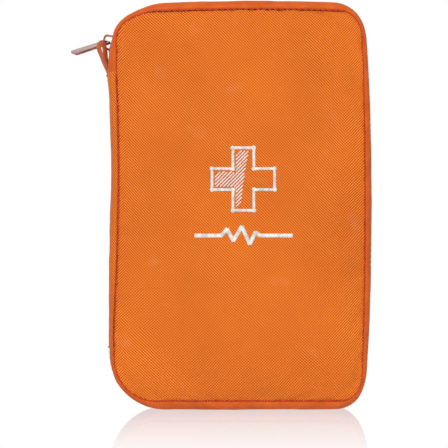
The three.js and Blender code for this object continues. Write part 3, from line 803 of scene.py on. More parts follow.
def shell_sides(side):
    """A shell's side fabric and its half of the spine."""
    name = NAME_OF[side]
    gusset = side_piece(f"{name}_side_fabric", ZIP_RUN, side, ZIP_EDGE, 0.35, SIDE_CLOTH, 0.3)
    bend_piece(gusset, side, "side_fabric", f"{name}_gusset")
    length_along(ZIP_RUN)[-1] * MM
    spine = side_piece(f"{name}_spine_fabric", SPINE_RUN, side, 0.0, 0.5, OXFORD, -0.85, overlap=0.3)
    replaced = [f"{name}_spine"] + (["spine_fold"] if side > 0 else [])
    bend_piece(spine, side, "oxford_fabric", *replaced)


# ---- Stitches ----


def stitch(start, end, rise, radius, sides=6):
    """One stitch of thread from start to end, standing up in its middle along `rise`."""
    start, end, rise = (np.asarray(v, float) for v in (start, end, rise))
    path, radii = [], []
    for share, thick in ((0, 0.35), (0.12, 0.9), (0.35, 1.05), (0.65, 1.05), (0.88, 0.9), (1, 0.35)):
        path.append(start + (end - start) * share + rise * math.sin(math.pi * share))
        radii.append(radius * thick)
    return tube(path, radii, sides)


def seam_stitches(side):
    """The thread that shows in the groove around a panel, and the ends left where the seam was closed."""
    loop = np.vstack([SEAM, SEAM[:1]])
    along = travelled(loop)
    round_seam = along[-1]
    count = round(round_seam / 2.9)
    pitch = round_seam / count

    def on_seam(s):
        s = s % round_seam
        x, z = np.interp(s, along, loop[:, 0]), np.interp(s, along, loop[:, 1])
        return np.array([x, side * (SEAM_DEPTH - 0.7), z])

    parts = []
    for k in range(count):
        start, end = on_seam((k + 0.12) * pitch), on_seam((k + 0.9) * pitch)
        parts.append(stitch(start, end, (0, side * 0.22, 0), 0.4))
    loose_ends = ((0.33, 1.2, 0.9), (0.36, -0.6, 1.3), (0.74, 1.0, -1.1), (0.77, -1.1, -0.9))
    for share, out_x, out_z in loose_ends:
        root = on_seam(share * round_seam)
        path = []
        for t in np.linspace(0, 1, 8):
            lift = side * (0.4 + 1.3 * math.sin(2.2 * t))
            path.append(root + np.array([out_x * t, lift, out_z * t * t * 1.6]))
        parts.append(tube(path, 0.1, 5))
    piece = make(f"{NAME_OF[side]}_seam_stitches", *joined(parts), SEAM_THREAD)
    finish_piece(piece, BODY_OF[side], "oxford_fabric")


def edge_stitches(side):
    """The row that holds the side fabric down on the zip tape, and the row across each end of the spine."""
    stations = even_run(ZIP_RUN, 2.8)
    parts = []
    y = side * (ZIP_EDGE + 1.5)
    for a, b in zip(stations, stations[1:]):
        ends = settled([placed(a + (b - a) * share, 0, -0.28, y) for share in (0.12, 0.86)])
        parts.append(stitch(*ends, np.array([a[4], 0, a[5]]) * 0.16, 0.24))
    for z, sign in ((SPINE_TOP, -1), (SPINE_BOTTOM, 1)):
        station = spine_station(z + sign * 1.5)
        for low in np.arange(1.2, SEAM_DEPTH - 4.6, 2.7):
            ends = []
            for y in (low, low + 2.0):
                over_roll = max(0.0, (y - (SEAM_DEPTH - ROLL_DEPTH)) / ROLL_DEPTH)
                ends.append(placed(station, 1 - math.sqrt(1 - over_roll**2), -0.75, side * y))
            parts.append(stitch(*settled(ends), (-0.15, 0, 0), 0.24))
    piece = make(f"{NAME_OF[side]}_edge_stitches", *joined(parts), TOP_THREAD)
    bend_piece(piece, side, "side_fabric")


# ---- Zip ----

TAPE_OUTER = -box_mm("front_zip_tape")[0].y
TAPE_DEPTH, TAPE_THICK = 1.7, 0.7
COIL_PITCH = 1.5


def zip_tape(side):
    """The woven tape under the edge of the side fabric, with the raised cord row beside the coil."""
    section = [
        (TAPE_DEPTH, TAPE_OUTER),
        (TAPE_DEPTH + TAPE_THICK, TAPE_OUTER),
        (TAPE_DEPTH + TAPE_THICK, 0.02),
        (TAPE_DEPTH + 0.1, 0.02),
        (TAPE_DEPTH + 0.1, 2.4),
        (TAPE_DEPTH, 2.7),
        (TAPE_DEPTH - 0.22, 3.1),
        (TAPE_DEPTH - 0.22, 3.6),
        (TAPE_DEPTH, 4.0),
    ]
    points, pattern = [], []
    for station, s in zip(ZIP_RUN, length_along(ZIP_RUN)):
        for depth, y in section:
            points.append(placed(station, 0, depth, side * y))
            pattern.append((s, y, 0))
    name = NAME_OF[side]
    faces = ring_faces(len(ZIP_RUN), len(section))
    piece = make(f"{name}_zip_tape_woven", settled(points), faces, ZIP_TAPE, pattern)
    ends = [f"zip_{end}_end_tape_{name}" for end in ("top", "bottom")]
    bend_piece(piece, side, "zip_tape", f"{name}_zip_tape", *ends)


def zip_coil(side):
    """One row of coil: a continuous wire wound in flat turns, each reaching the zip's centre line."""
    per_turn = 10
    stations = even_run(ZIP_RUN, COIL_PITCH / per_turn)
    middle, reach = 1.12, 0.95
    path = []
    for k, station in enumerate(stations):
        turn = 2 * math.pi * k / per_turn + (math.pi if side > 0 else 0)
        bulge = 1.0 if math.cos(turn) < 0.5 else 1.05
        depth = 0.97 + 0.48 * math.sin(turn)
        path.append(placed(station, 0, depth, side * (middle - reach * bulge * math.cos(turn))))
    points, faces = tube(settled(path), 0.27, 5)
    name = NAME_OF[side]
    piece = make(f"{name}_zip_coil_wound", points, faces, COIL)
    bend_piece(piece, side, "zip_coil", f"{name}_zip_coil")


# ---- Hang loop ----


def hang_loop():
    """A folded ribbon: its two ends are caught in the cross seam and it stands out in front of the pull."""
    low, high = box_mm("hang_loop")
    middle = (low.y + high.y) / 2
    foot, top, out = SPINE_TOP - 2.6, high.z - 0.7, low.x + 0.9
    keys = np.array([
        (LEFT - 0.75, foot),
        (LEFT - 1.35, SPINE_TOP + 0.3),
        (LEFT - 2.6, SPINE_TOP + 3.6),
        (LEFT - 4.2, SPINE_TOP + 8.2),
        (out - 0.1, SPINE_TOP + 12.2),
        (out + 0.15, top - 1.2),
        (out + 1.2, top),
        (out + 2.3, top - 1.6),
        (out + 2.9, SPINE_TOP + 11.2),
        (LEFT - 2.2, SPINE_TOP + 7.4),
        (LEFT - 1.3, SPINE_TOP + 4.4),
        (LEFT - 0.8, SPINE_TOP + 1.2),
        (LEFT - 0.55, foot + 0.6),
    ])
    chord = travelled(keys)
    steps = np.linspace(0, chord[-1], 90)
    curve = [catmull(keys, chord, s) for s in steps]
    section = [(1.6 * across, 0.48 * up) for across, up in squared_ring(12, 0.6, 0.8)]
    points, pattern = [], []
    for (x, z), normal, s in zip(curve, left_normals(curve), steps):
        lean = 0.75 * math.sin(math.pi * s / chord[-1])
        for a, b in section:
            off = a * math.sin(lean) + b * math.cos(lean)
            y = middle + a * math.cos(lean) - b * math.sin(lean)
            points.append((x + normal[0] * off, y, z + normal[1] * off))
            pattern.append((a, s, 0))
    piece = make("hang_loop_ribbon", points, ring_faces(len(curve), len(section)), RIBBON, pattern, sharp=70)
    finish_piece(piece, "fold", "zip_tape", "hang_loop")


def catmull(keys, chord, s):
    """A point on a smooth curve through the keys at the distance s."""
    i = int(np.clip(np.searchsorted(chord, s) - 1, 0, len(keys) - 2))
    t = (s - chord[i]) / (chord[i + 1] - chord[i])
    p0, p1 = keys[max(i - 1, 0)], keys[i]
    p2, p3 = keys[i + 1], keys[min(i + 2, len(keys) - 1)]
    square, cube = 2 * p0 - 5 * p1 + 4 * p2 - p3, 3 * p1 - p0 - 3 * p2 + p3
    return 0.5 * (2 * p1 + (p2 - p0) * t + square * t**2 + cube * t**3)


# ---- Embroidery: an equal-armed cross over a pulse line, in white thread ----


def front_surface(panel):
    """A function that gives the y of the panel's face at (x, z)."""
    corners = [v.co for v in panel.data.vertices]
    tree = BVHTree.FromPolygons(corners, [p.vertices for p in panel.data.polygons])

    def at(x, z):
        return tree.ray_cast(Vector((x, -80, z)) * MM, Vector((0, 1, 0)))[0].y / MM

    return at


def satin(path, width, at):
    """Close parallel threads across a path, a satin stitch of this width."""
    pitch = 0.46
    path = np.asarray(path, float)
    chord = travelled(path)

    def on_path(s):
        return np.array([np.interp(s, chord, path[:, 0]), np.interp(s, chord, path[:, 1])])

    parts = []
    count = int(chord[-1] / pitch)
    for k in range(count + 1):
        s = chord[-1] * k / count
        middle = on_path(s)
        ahead = on_path(min(s + 0.4, chord[-1])) - on_path(max(s - 0.4, 0))
        ahead /= math.hypot(*ahead)
        half = width / 2 * (1 + 0.08 * noise.noise(Vector((*(middle * 3), 1))))
        beside = np.array([-ahead[1], ahead[0]]) * half
        ends = (middle + beside + ahead * 0.25 * pitch, middle - beside)
        parts.append(stitch(*((x, at(x, z) + 0.05, z) for x, z in ends), (0, -0.38, 0), 0.3, 5))
    return parts


def emblem(panel):
    """The cross, outlined and hatched on its left half, and the pulse line."""
    at = front_surface(panel)
    middle = np.array([CENTRE + 1.3, 112.6])
    arm, half, border = 15.2, 5.1, 1.3
    corners = [(-half, -half), (-half, -arm), (half, -arm), (half, -half), (arm, -half), (arm, half)]
    corners += [(half, half), (half, arm), (-half, arm), (-half, half), (-arm, half), (-arm, -half)]
    parts = []
    for a, b in zip(corners, corners[1:] + corners[:1]):
        a, b = np.array(a), np.array(b)
        past_corner = (b - a) / np.hypot(*(b - a)) * 0.75
        parts += satin([middle + a - past_corner, middle + b + past_corner], 1.45, at)

    def hatched(point):
        near, far = sorted((abs(point[0]), abs(point[1])))
        return near < half - border and far < arm - border and point[0] - point[1] * 0.15 < 0.6

    for offset in np.arange(-20, 21, 1.75):
        slanted = [(t + offset / 2, t - offset / 2) for t in np.linspace(-22, 22, 177)]
        for run in runs_inside(slanted, hatched, 6):
            shown = [middle + point for point in run[:: max(1, len(run) // 8)]]
            parts.append(tube([(x, at(x, z) - 0.12, z) for x, z in shown], 0.32, 6))
    beat = [(-22.3, 0), (-9.5, 0), (-6.6, 3.2), (-3.6, -2.6), (0.6, 4.4), (4.4, -4.2), (7.2, 1.6), (9.2, 0)]
    beat.append((25.0, 0))
    line = [(CENTRE + x, 85.2 + z) for x, z in beat]
    for ends in zip(line, line[1:]):
        parts += satin(ends, 2.0, at)
    piece = make("front_embroidery", *joined(parts), WHITE_THREAD)
    finish_piece(piece, "cover", "oxford_fabric")


# ---- Hard pieces that keep their CAD mesh ----


def dress(node, material, bevel):
    """A CAD node with rounded edges and its procedural material."""
    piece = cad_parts[node]
    piece.data.materials.clear()
    piece.data.materials.append(material)
    rounding = piece.modifiers.new("rounded edges", "BEVEL")
    rounding.width = bevel * MM
    rounding.segments = 3
    rounding.limit_method = "ANGLE"
    rounding.angle_limit = math.radians(35)
    rounding.harden_normals = True


# ---- Inside: forms over a rounded rectangle (x0, z0, x1, z1) ----


def rounded_distance(x, z, rect, radius):
    """How far inside a rounded rectangle a point is."""
    x0, z0, x1, z1 = rect
    qx = np.abs(x - (x0 + x1) / 2) - (x1 - x0) / 2 + radius
    qz = np.abs(z - (z0 + z1) / 2) - (z1 - z0) / 2 + radius
    outside = np.hypot(np.maximum(qx, 0), np.maximum(qz, 0))
    return radius - outside - np.minimum(np.maximum(qx, qz), 0)


def rounded_grid(rect, radius, edge, step):
    x0, z0, x1, z1 = rect
    edge = np.asarray(edge, float)
    arc = radius * (1 - np.cos(np.linspace(0, math.pi / 2, 8)))
    near = np.concatenate([edge, arc])
    reach = near.max()
    middle = np.linspace(z0 + reach, z1 - reach, max(2, int((z1 - z0 - 2 * reach) / step)))
    rows = np.unique(np.round(np.concatenate([z0 + near, middle, z1 - near]), 2))
    rows = rows[np.concatenate([[True], np.diff(rows) > 0.12])]
    short = np.clip(radius - np.minimum(rows - z0, z1 - rows), 0, radius)
    inset = radius - np.sqrt(np.maximum(radius**2 - short**2, 0))
    count = max(2, int((x1 - x0 - 2 * edge[-1]) / step))
    inner = np.linspace(0, 1, count + 1)[1:-1]
    grid = []
    for z, cut in zip(rows, inset):
        low, high = x0 + cut, x1 - cut
        share = min(1.0, (high - low) / 2.2 / edge[-1])
        xs = np.concatenate([
            low + edge * share,
            low + edge[-1] * share + (high - low - 2 * edge[-1] * share) * inner,
            high - edge[::-1] * share,
        ])
        grid.append([(x, z) for x in xs])
    return np.array(grid)


EDGE_FINE = (0, 0.25, 0.6, 1.1, 1.8, 2.8)


def pad(name, rect, radius, face, back, material, edge=EDGE_FINE, step=3.0, sharp=50):
    """A closed form over a rounded rectangle.

    `face` gives its y at (x, z, distance inside). `back` does too, or is one y where the back is flat.
    """
    grid = rounded_grid(rect, radius, edge, step)
    x, z = grid[..., 0].ravel(), grid[..., 1].ravel()
    inside = rounded_distance(x, z, rect, radius).clip(0)
    points = [(a, face(a, b, d), b) for a, b, d in zip(x, z, inside)]
    points += [(a, back(a, b, d) if callable(back) else back, b) for a, b, d in zip(x, z, inside)]
    pattern = [(a, b, 0) for a, b in zip(x, z)] * 2
    return make(name, points, closed_grid(*grid.shape[:2])[0], material, pattern, sharp)


def rect_of(node, grow=0.0):
    low, high = box_mm(node)
    return (low.x - grow, low.z - grow, high.x + grow, high.z + grow)


def bumpy(x, z, size, seed=0.0):
    return noise.noise(Vector((x / size, z / size, seed)))


def lining(side):
    """The lining over the foam, stretched flat with faint pulls from the seam."""
    name = NAME_OF[side]
    rect = rect_of(f"{name}_lining")

    def face(x, z, d):
        return side * (LINING_FACE + 0.12 - 0.16 * bumpy(x, z, 22, side) * min(1, d / 8))

    back = side * (LINING_FACE + 0.68)
    piece = pad(f"{name}_lining_cloth", rect, 14.5, face, back, LINING_CLOTH, step=4)
    finish_piece(piece, BODY_OF[side], "lining", f"{name}_lining")


def seam_binding(side):
    """The folded tape bound round the seam allowance, with small puckers."""
    section = squared_ring(10, 0.7, 0.7)
    points, pattern = [], []
    for station, s in zip(OUTLINE, length_along(OUTLINE)):
        swell = 1 + 0.07 * math.sin(2 * math.pi * s / 4.2) + 0.12 * noise.noise(Vector((s / 9, side, 0)))
        for k, (across, up) in enumerate(section):
            y = LINING_FACE - 1.35 + 0.95 * swell * up
            points.append(placed(station, 1, 2.95 + 0.95 * across, side * min(y, LINING_FACE - 0.2)))
            pattern.append((s, k * 0.6, 0))
    name = NAME_OF[side]
    faces = ring_faces(len(OUTLINE), len(section), wrap_rings=True)
    piece = make(f"{name}_binding_tape", settled(points), faces, BINDING, pattern)
    finish_piece(piece, BODY_OF[side], "binding", f"{name}_seam_binding")


def wound_roll(node, along_x, core, turns, columns, slot, material, looseness):
    """A strip wound on itself, with the layers showing at both ends."""
    low, high = box_mm(node)
    middle = (low + high) / 2
    radius = (high.z - low.z) / 2 - 0.15
    long = (high.x - low.x) if along_x else (high.y - low.y)
    pitch = (radius - core) / turns
    thick = pitch * 0.78
    steps = int(turns * 34)
    points, pattern = [], []
    spread = np.linspace(-0.5, 0.5, columns)
    strip = 0.0
    for k in range(steps + 1):
        angle = 2 * math.pi * turns * k / steps
        r = core + (radius - thick - core) * k / steps
        strip += r * 2 * math.pi * turns / steps
        slip = looseness * noise.noise(Vector((k / 16, turns, 0)))
        for layer in (thick, 0):
            row = spread if layer else spread[::-1]
            for share in row:
                wave = looseness * 0.5 * noise.noise(Vector((angle * 1.2, share * 6, layer)))
                reach = min(radius, r + layer + wave * (0.6 if k < steps * 0.96 else 1.0))
                axial = share * (long - 1.2) + slip * (1 - 2 * abs(share) * 0.2)
                a, b = reach * math.cos(angle), reach * math.sin(angle)
                if along_x:
                    points.append((middle.x + axial, middle.y + a, middle.z + b))
                else:
                    points.append((middle.x + a, middle.y + axial, middle.z + b))
                pattern.append((strip, share * long, 0))
    piece = make(f"{node}_wound", points, ring_faces(steps + 1, 2 * columns), material, pattern, sharp=55)
    finish_piece(piece, "back_shell", slot, node)


def sachet(node, body, facing, paper, seal):
    """A sealed packet: flat crimped margins round a soft, creased filling."""
    low, high = box_mm(node)
    rect = rect_of(node, 0.4)
    against, out = (high.y, low.y) if facing < 0 else (low.y, high.y)
    thick = abs(out - against)
    middle = (rect[1] + rect[3]) / 2

    def face(x, z, d):
        end = min(z - rect[1], rect[3] - z)
        crimp = 0.12 * math.sin(end * 2 * math.pi / 1.1) if end < seal else 0.0
        fill = smooth((d - seal * 0.6) / 7) ** 0.8
        crease = 0.35 * bumpy(x, z, 9, middle) + 0.2 * bumpy(x, z, 3.6, middle)
        return against + facing * (0.5 + crimp + (thick - 0.9 + crease) * fill)

    edge = (*np.arange(0, seal + 0.01, 0.55), seal + 1.2, seal + 2.6, seal + 4.4)
    piece = pad(f"{node}_packet", rect, 1.2, face, against + facing * 0.05, paper, edge=edge, step=2.6)
    finish_piece(piece, body, "packet_paper", node)


def foil_blanket():
    """Rescue foil folded flat: rounded stack edges and a face of sharp creases."""
    low, high = box_mm("foil_blanket")
    rect = rect_of("foil_blanket")

    def face(x, z, d):
        fold = 0.8 * abs(bumpy(x, z, 11, 5)) + 0.45 * abs(bumpy(x, z, 4.5, 7))
        side_fold = 0.5 * smooth((abs(x - (rect[0] + rect[2]) / 2) % 17 - 1) / 1.6)
        rim = math.sqrt(max(0.0, 1 - (1 - min(1.0, d / 3.2)) ** 2))
        return high.y - (high.y - low.y - 1.2) * (0.2 + 0.8 * rim) + fold - side_fold * 0.5 * rim

    piece = pad("foil_blanket_folded", rect, 2.5, face, high.y - 0.05, FOIL, step=1.9, sharp=25)
    finish_piece(piece, "back_shell", "foil", "foil_blanket")


ELASTIC_LOOPS = [(-53.5, -29.5, 9), (-26.5, -14.5, 8), (-4, 24, 6), (33, 51, 7.5)]
LOOP_EASE = (0, 0.05, 0.12, 0.22, 0.36, 0.55, 0.8, 1.1, 1.6, 2.4, 3.4)


def elastic_band():
    """Ribbed elastic sewn down between the tools and bowed out over each of them."""
    low, high = box_mm("elastic_band")
    near = high.y - 0.05
    thick, half = 0.85, (high.z - low.z) / 2
    middle = (low.z + high.z) / 2
    xs = [low.x]
    for start, end, _ in ELASTIC_LOOPS:
        a, b = CENTRE + start, CENTRE + end
        xs += [a + ease for ease in LOOP_EASE]
        xs += list(np.linspace(a + 4.4, b - 4.4, 6)) if b - a > 12 else [(a + b) / 2]
        xs += [b - ease for ease in reversed(LOOP_EASE)]
    xs = np.array([*xs, high.x])
    bow = np.zeros(len(xs))
    for start, end, out in ELASTIC_LOOPS:
        rise = 1 - (1 - np.clip((xs - CENTRE - start) / LOOP_EASE[-1], 0, 1)) ** 6
        fall = 1 - (1 - np.clip((CENTRE + end - xs) / LOOP_EASE[-1], 0, 1)) ** 6
        bow = np.maximum(bow, (out - 0.1) * rise * fall)
    line = np.stack([xs, near - bow], axis=1)
    rib_rows = np.linspace(-half + 0.35, half - 0.35, 15)
    section = [(z, thick + (0.07 if i % 2 else -0.05)) for i, z in enumerate(rib_rows)]
    section += [(half, thick * 0.6), (half, thick * 0.3), (half - 0.3, 0.0), (-half + 0.3, 0.0)]
    section += [(-half, thick * 0.3), (-half, thick * 0.6)]
    points, pattern = [], []
    for (x, y), normal, s in zip(line, -left_normals(line), travelled(line)):
        for z, off in section:
            points.append((x + normal[0] * off, y + normal[1] * off, middle + z))
            pattern.append((z, s, 0))
    faces = ring_faces(len(line), len(section))
    piece = make("elastic_band_ribbed", points, faces, ELASTIC, pattern, sharp=60)
    finish_piece(piece, "back_shell", "elastic", "elastic_band")
    between = [CENTRE + (a[1] + b[0]) / 2 for a, b in zip(ELASTIC_LOOPS, ELASTIC_LOOPS[1:])]
    bar_tacks([low.x + 0.8, *between, high.x - 1.2], near - thick - 0.02, low.z + 0.9, high.z - 0.9)


def bar_tacks(places, y, low, high, count=7):
    """A zigzag of thread from low to high at each place, which sews the elastic down."""
    rise = (high - low) / count
    parts = []
    for x in places:
        for k in range(count):
            lean = 0.45 if k % 2 else -0.45
            z = low + k * rise
            parts.append(stitch((x - lean, y, z), (x + lean, y, z + rise), (0, -0.2, 0), 0.22))
    finish_piece(make("elastic_bar_tacks", *joined(parts), TOP_THREAD), "back_shell", "elastic")


def pocket_rise(d, reach, bend):
    """How far a pocket's face stands off the lining at a distance from the edge it is sewn down along."""
    t = min(1.0, max(0.0, d) / bend)
    return reach * math.sqrt(max(0.0, 1 - (1 - t) ** 2))


def net_pocket():
    """Knitted net: two sets of slanted cords over the pocket's bulging face, and its bound edge and hem."""
    low, high = box_mm("net_pocket")
    hem_low, hem_high = box_mm("net_pocket_hem")
    mouth = hem_low.z + 0.6
    radius = 14
    rect = (low.x, low.z, high.x, high.z + 60)

    def surface(x, z):
        d = float(rounded_distance(x, z, rect, radius))
        sag = 0.35 * bumpy(x, z, 30, 2)
        rise = pocket_rise(d, high.y + LINING_FACE - 0.6, 4.5)
        return -LINING_FACE + 0.3 + rise + min(0.0, sag * min(1, d / 12))

    def on_net(point):
        return low.x + 0.15 < point[0] < high.x - 0.15 and rounded_distance(*point, rect, radius) > 0.1

    parts = []
    middle, tall = (low.x + high.x) / 2, mouth - low.z
    span = (high.x - low.x) + tall
    cell, step = 3.0, 1.5
    for direction in (1, -1):
        for offset in np.arange(-span, span, cell):
            levels = np.arange(0, tall + 0.01, step / 1.414)
            cord = [(middle + offset + direction * t, low.z + t) for t in levels]
            for run in runs_inside(cord, on_net, 3):
                parts.append(tube([(x, surface(x, z), z) for x, z in run], 0.24, 4))
    piece = make("net_pocket_mesh", *joined(parts), NET, sharp=80)
    finish_piece(piece, "cover", "net", "net_pocket")
    net_border(low, high, mouth, radius)
    hem_z = mouth + 2.2

    def fold(x):
        gather = 0.12 * math.sin(x * 2 * math.pi / 3.1) + 0.1 * bumpy(x, 0, 5, 1)
        return surface(x, mouth) + 0.1, 0.62 + gather * 0.5

    columns = np.linspace(hem_low.x, hem_high.x, 90)
    hem = mouth_band("net_pocket_elastic_hem", columns, fold, (hem_z, 2.4), squared_ring(12, 0.6, 0.5))
    finish_piece(hem, "cover", "binding", "net_pocket_hem")


def net_border(low, high, mouth, radius):
    """The binding sewn round the net's sides and bottom."""
    edge = [(low.x + 0.9, z) for z in np.arange(mouth, low.z + radius, -2.0)]
    for turn in range(180, 271, 9):
        a = math.radians(turn)
        reach = radius - 0.9
        edge.append((low.x + radius + reach * math.cos(a), low.z + radius + reach * math.sin(a)))
    mirrored = [(low.x + high.x - x, z) for x, z in edge[::-1]]
    bottom = [(x, low.z + 0.9) for x in np.linspace(edge[-1][0], mirrored[0][0], 30)[1:-1]]
    route = edge + bottom + mirrored
    section = ((-0.85, 0.3), (-0.85, 0.75), (-0.3, 1.05), (0.4, 1.05), (1.3, 0.8), (1.3, 0.3))
    points, pattern = [], []
    for (x, z), normal, s in zip(route, left_normals(route), travelled(route)):
        for off, lift in section:
            points.append((x + normal[0] * off, -LINING_FACE + lift, z + normal[1] * off))
            pattern.append((s, off, 0))
    border = make("net_pocket_binding", points, ring_faces(len(route), len(section)), BINDING, pattern)
    finish_piece(border, "cover", "binding")


def mouth_band(name, columns, fold, upright, ring):
    """A folded band across a pocket's mouth.

    `fold` gives its middle y and half thickness at x, and `upright` is its middle z and half height.
    """
    z_middle, half_tall = upright
    points, pattern = [], []
    for x in columns:
        y, half_thick = fold(x)
        for across, up in ring:
            z = z_middle + half_tall * up
            points.append((x, y + half_thick * across, z))
            pattern.append((x, z, 0))
    return make(name, points, ring_faces(len(columns), len(ring)), BINDING, pattern)


def clear_pocket():
    """Clear vinyl welded down on three sides, with a bound mouth."""
    low, high = box_mm("clear_pocket")
    open_above = (low.x, low.z, high.x, high.z + 40)

    def outside(x, z, _):
        inside = float(rounded_distance(x, z, open_above, 4))
        weld = 0.15 if 1.0 < inside < 1.7 else 0.0
        sag = min(0, 0.25 * bumpy(x, z, 24, 4) * min(1, inside / 10))
        return -LINING_FACE + 0.65 + pocket_rise(inside - 1.8, high.y + LINING_FACE - 0.95, 3.6) - weld + sag

    def within(x, z, d):
        return outside(x, z, d) - 0.3

    def fold(x):
        return outside(x, high.z - 1, 0) - 0.15, 0.5

    edge = (0, 0.5, 1.0, 1.35, 1.7, 1.9, 2.3, 2.9, 3.8, 5.2)
    rect = rect_of("clear_pocket")
    piece = pad("clear_pocket_vinyl", rect, 0.6, outside, within, VINYL, edge=edge, step=4, sharp=60)
    finish_piece(piece, "cover", "clear_vinyl", "clear_pocket")
    columns = np.linspace(low.x, high.x, 70)
    ring = squared_ring(10, 0.7, 0.6)
    band = mouth_band("clear_pocket_binding", columns, fold, (high.z - 1.3, 1.6), ring)
    finish_piece(band, "cover", "binding")


def guide_leaflet():
    """A sheet of paper folded in three, its folds at the sides."""
    low, high = box_mm("guide_leaflet")
    fold, paper = 0.32, 0.14
    x0, x1, y0 = low.x + 0.6, high.x - 0.6, low.y + 0.15
    route = [(x1, y0), (x0, y0)]
    for turn in range(30, 180, 30):
        a = math.radians(270 - turn)
        route.append((x0 + fold / 2 * math.cos(a), y0 + fold / 2 + fold / 2 * math.sin(a)))
    route += [(x0, y0 + fold), (x1, y0 + fold + 0.05)]
    for turn in range(30, 180, 30):
        a = math.radians(270 + turn)
        route.append((x1 + fold / 2 * math.cos(a), y0 + 1.5 * fold + 0.05 + fold / 2 * math.sin(a)))
    route += [(x1, y0 + 2 * fold + 0.05), (x0 + 2, y0 + 2 * fold + 0.2)]
    line = np.array(route)
    normal = left_normals(line) * paper / 2
    section = np.vstack([line + normal, (line - normal)[::-1]])
    points, pattern = [], []
    levels = np.linspace(low.z + 0.5, high.z - 0.5, 12)
    for z in levels:
        for x, y in section:
            points.append((x, y, z))
            pattern.append((x, z, 0))
    piece = make("guide_leaflet_folded", points, ring_faces(len(levels), len(section)), LEAFLET, pattern)
    finish_piece(piece, "cover", "packet_paper", "guide_leaflet")


def plaster(node):
    """A plaster strip: thin film with round ends and its wound pad raised in the middle."""
    low, high = box_mm(node)
    rect = rect_of(node)
    middle = (rect[1] + rect[3]) / 2

    def face(x, z, d):
        wound_pad = smooth((8.5 - abs(z - middle)) / 1.2) * smooth((d - 1.6) / 1.0)
        return low.y + 0.28 + 0.44 * float(wound_pad) + 0.04 * bumpy(x, z, 4, middle)

    piece = pad(f"{node}_strip", rect, 6.6, face, low.y + 0.02, PLASTER, step=1.4)
    finish_piece(piece, "cover", "plaster", node)


# ---- Build the outside ----

front_panel = padded_panel(-1)
padded_panel(1)
for side in (-1, 1):
    shell_sides(side)
    seam_stitches(side)
    edge_stitches(side)
    zip_tape(side)
    zip_coil(side)
    lining(side)
    seam_binding(side)
hang_loop()
emblem(front_panel)
dress("zip_slider", METAL, 0.25)
dress("zip_pull", METAL, 0.18)
for end in ("top", "bottom"):
    dress(f"zip_{end}_stop", METAL, 0.2)

# ---- Fill the inside ----

packet_low = box_mm("dressing_packet")[0].z
GREEN_BAND = packet_paper("dressing_paper", (244, 244, 242), (70, 140, 108), packet_low + 56, packet_low + 68)
BLUE_BAND = packet_paper("gloves_paper", (240, 243, 246), (76, 124, 176), packet_low + 62, packet_low + 76)
BANDAGE_BAND = packet_paper("bandage_paper", (246, 242, 232), (196, 92, 62), 100, 106)
LEAFLET = packet_paper("leaflet_paper", (246, 246, 243), (60, 132, 104), 166, 176)
wound_roll("crepe_bandage_roll", True, 2.2, 8, 14, "crepe", CREPE, 0.55)
wound_roll("gauze_bandage_roll", True, 2.0, 9, 14, "gauze", GAUZE, 0.4)
wound_roll("sticking_tape", False, 12.6, 8, 6, "cloth_tape", STICKING, 0.08)
dress("tape_core", CARD, 0.25)
foil_blanket()
sachet("triangular_bandage", "back_shell", -1, BANDAGE_BAND, 3.3)
sachet("gloves_packet", "cover", 1, BLUE_BAND, 3.3)
sachet("dressing_packet", "cover", 1, GREEN_BAND, 3.3)
for node in ("tweezers_arm_back", "tweezers_arm_front"):
    dress(node, STEEL, 0.2)
for hand in ("left", "right"):
    dress(f"scissors_{hand}_blade", STEEL, 0.3)
    dress(f"scissors_{hand}_handle", HANDLE, 1.1)
dress("scissors_rivet", STEEL, 0.35)
elastic_band()
net_pocket()
clear_pocket()
guide_leaflet()
for number in (1, 2, 3, 4):
    plaster(f"plaster_{number}")


# ---- Stage: pale floor with a faint mirror under the pouch, white surroundings, soft light ----

CAMERA_HEIGHT, CAMERA_X, CAMERA_AWAY, FIELD = 90.8, CENTRE - 8.1, 1100, 219.3
WHITE = (1, 1, 1, 1)


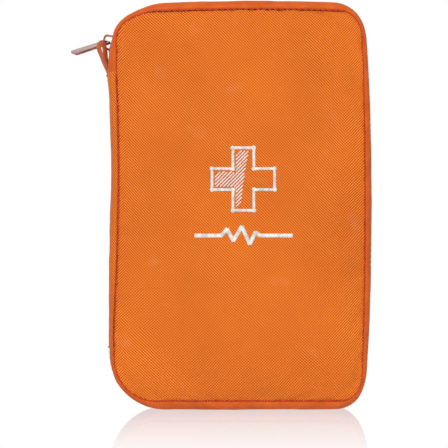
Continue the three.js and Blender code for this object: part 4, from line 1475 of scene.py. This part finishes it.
def mirror_floor():
    """White floor whose reflection of the pouch fades a hand's width in front of it."""
    mesh = bpy.data.meshes.new("floor")
    size = 6.0
    corners = [(-size, -size, 0), (size, -size, 0), (size, size, 0), (-size, size, 0)]
    mesh.from_pydata(corners, [], [(0, 1, 2, 3)])
    floor = bpy.data.objects.new("floor", mesh)
    bpy.context.scene.collection.objects.link(floor)
    floor.location.z = -0.0004
    floor.visible_diffuse = False
    floor.visible_shadow = False
    material = bpy.data.materials.new("floor_white")
    material.use_nodes = True
    tree = material.node_tree
    tree.nodes.clear()
    place = add_node(tree, "ShaderNodeTexCoord").outputs["Object"]
    away = add_node(tree, "ShaderNodeSeparateXYZ", {0: place}).outputs["Y"]
    fade = add_node(tree, "ShaderNodeMapRange", {0: away, 1: -0.24, 2: -0.02, 3: 0.03, 4: 0.4}).outputs[0]
    white = add_node(tree, "ShaderNodeEmission", {"Color": WHITE}).outputs[0]
    mirror = add_node(tree, "ShaderNodeBsdfGlossy", {"Color": WHITE, "Roughness": 0.035}).outputs[0]
    mixed = add_node(tree, "ShaderNodeMixShader", {0: fade, 1: white, 2: mirror}).outputs[0]
    add_node(tree, "ShaderNodeOutputMaterial", {0: mixed})
    mesh.materials.append(material)


def white_world(soft):
    """White all round; cloth receives only `soft` of it, so that the lamps shape the pouch."""
    world = bpy.data.worlds.new("studio")
    world.use_nodes = True
    tree = world.node_tree
    background = tree.nodes["Background"]
    background.inputs["Color"].default_value = WHITE
    diffuse = add_node(tree, "ShaderNodeLightPath").outputs["Is Diffuse Ray"]
    level = add_node(tree, "ShaderNodeMapRange", {0: diffuse, 1: 0.0, 2: 1.0, 3: 1.0, 4: soft}).outputs[0]
    tree.links.new(level, background.inputs["Strength"])
    bpy.context.scene.world = world


def softbox(name, place, size, watts, aim=(0, 0, 100)):
    data = bpy.data.lights.new(name, "AREA")
    data.energy = watts
    data.shape = "RECTANGLE"
    data.size, data.size_y = (s * MM for s in size)
    lamp = bpy.data.objects.new(name, data)
    lamp.location = Vector(place) * MM
    lamp.rotation_euler = (Vector(aim) * MM - lamp.location).to_track_quat("-Z", "Y").to_euler()
    bpy.context.scene.collection.objects.link(lamp)


def camera():
    data = bpy.data.cameras.new("camera")
    data.sensor_width = 36
    data.lens = data.sensor_width * (CAMERA_AWAY - SEAM_DEPTH + ROLL_DEPTH) / FIELD
    data.clip_start, data.clip_end = 0.05, 20
    made = bpy.data.objects.new("camera", data)
    made.location = Vector((CAMERA_X, -CAMERA_AWAY, CAMERA_HEIGHT)) * MM
    made.rotation_euler = (math.pi / 2, 0, 0)
    bpy.context.scene.collection.objects.link(made)
    bpy.context.scene.camera = made


mirror_floor()
white_world(0.42)
softbox("key", (-500, -1100, 900), (700, 700), 10.5)
softbox("fill", (900, -900, 500), (900, 900), 4.4)
softbox("rim", (-700, 500, 700), (600, 600), 2)
softbox("bounce", (0, -700, -500), (600, 600), 2.6)
camera()
bpy.context.scene.view_settings.view_transform = "Standard"
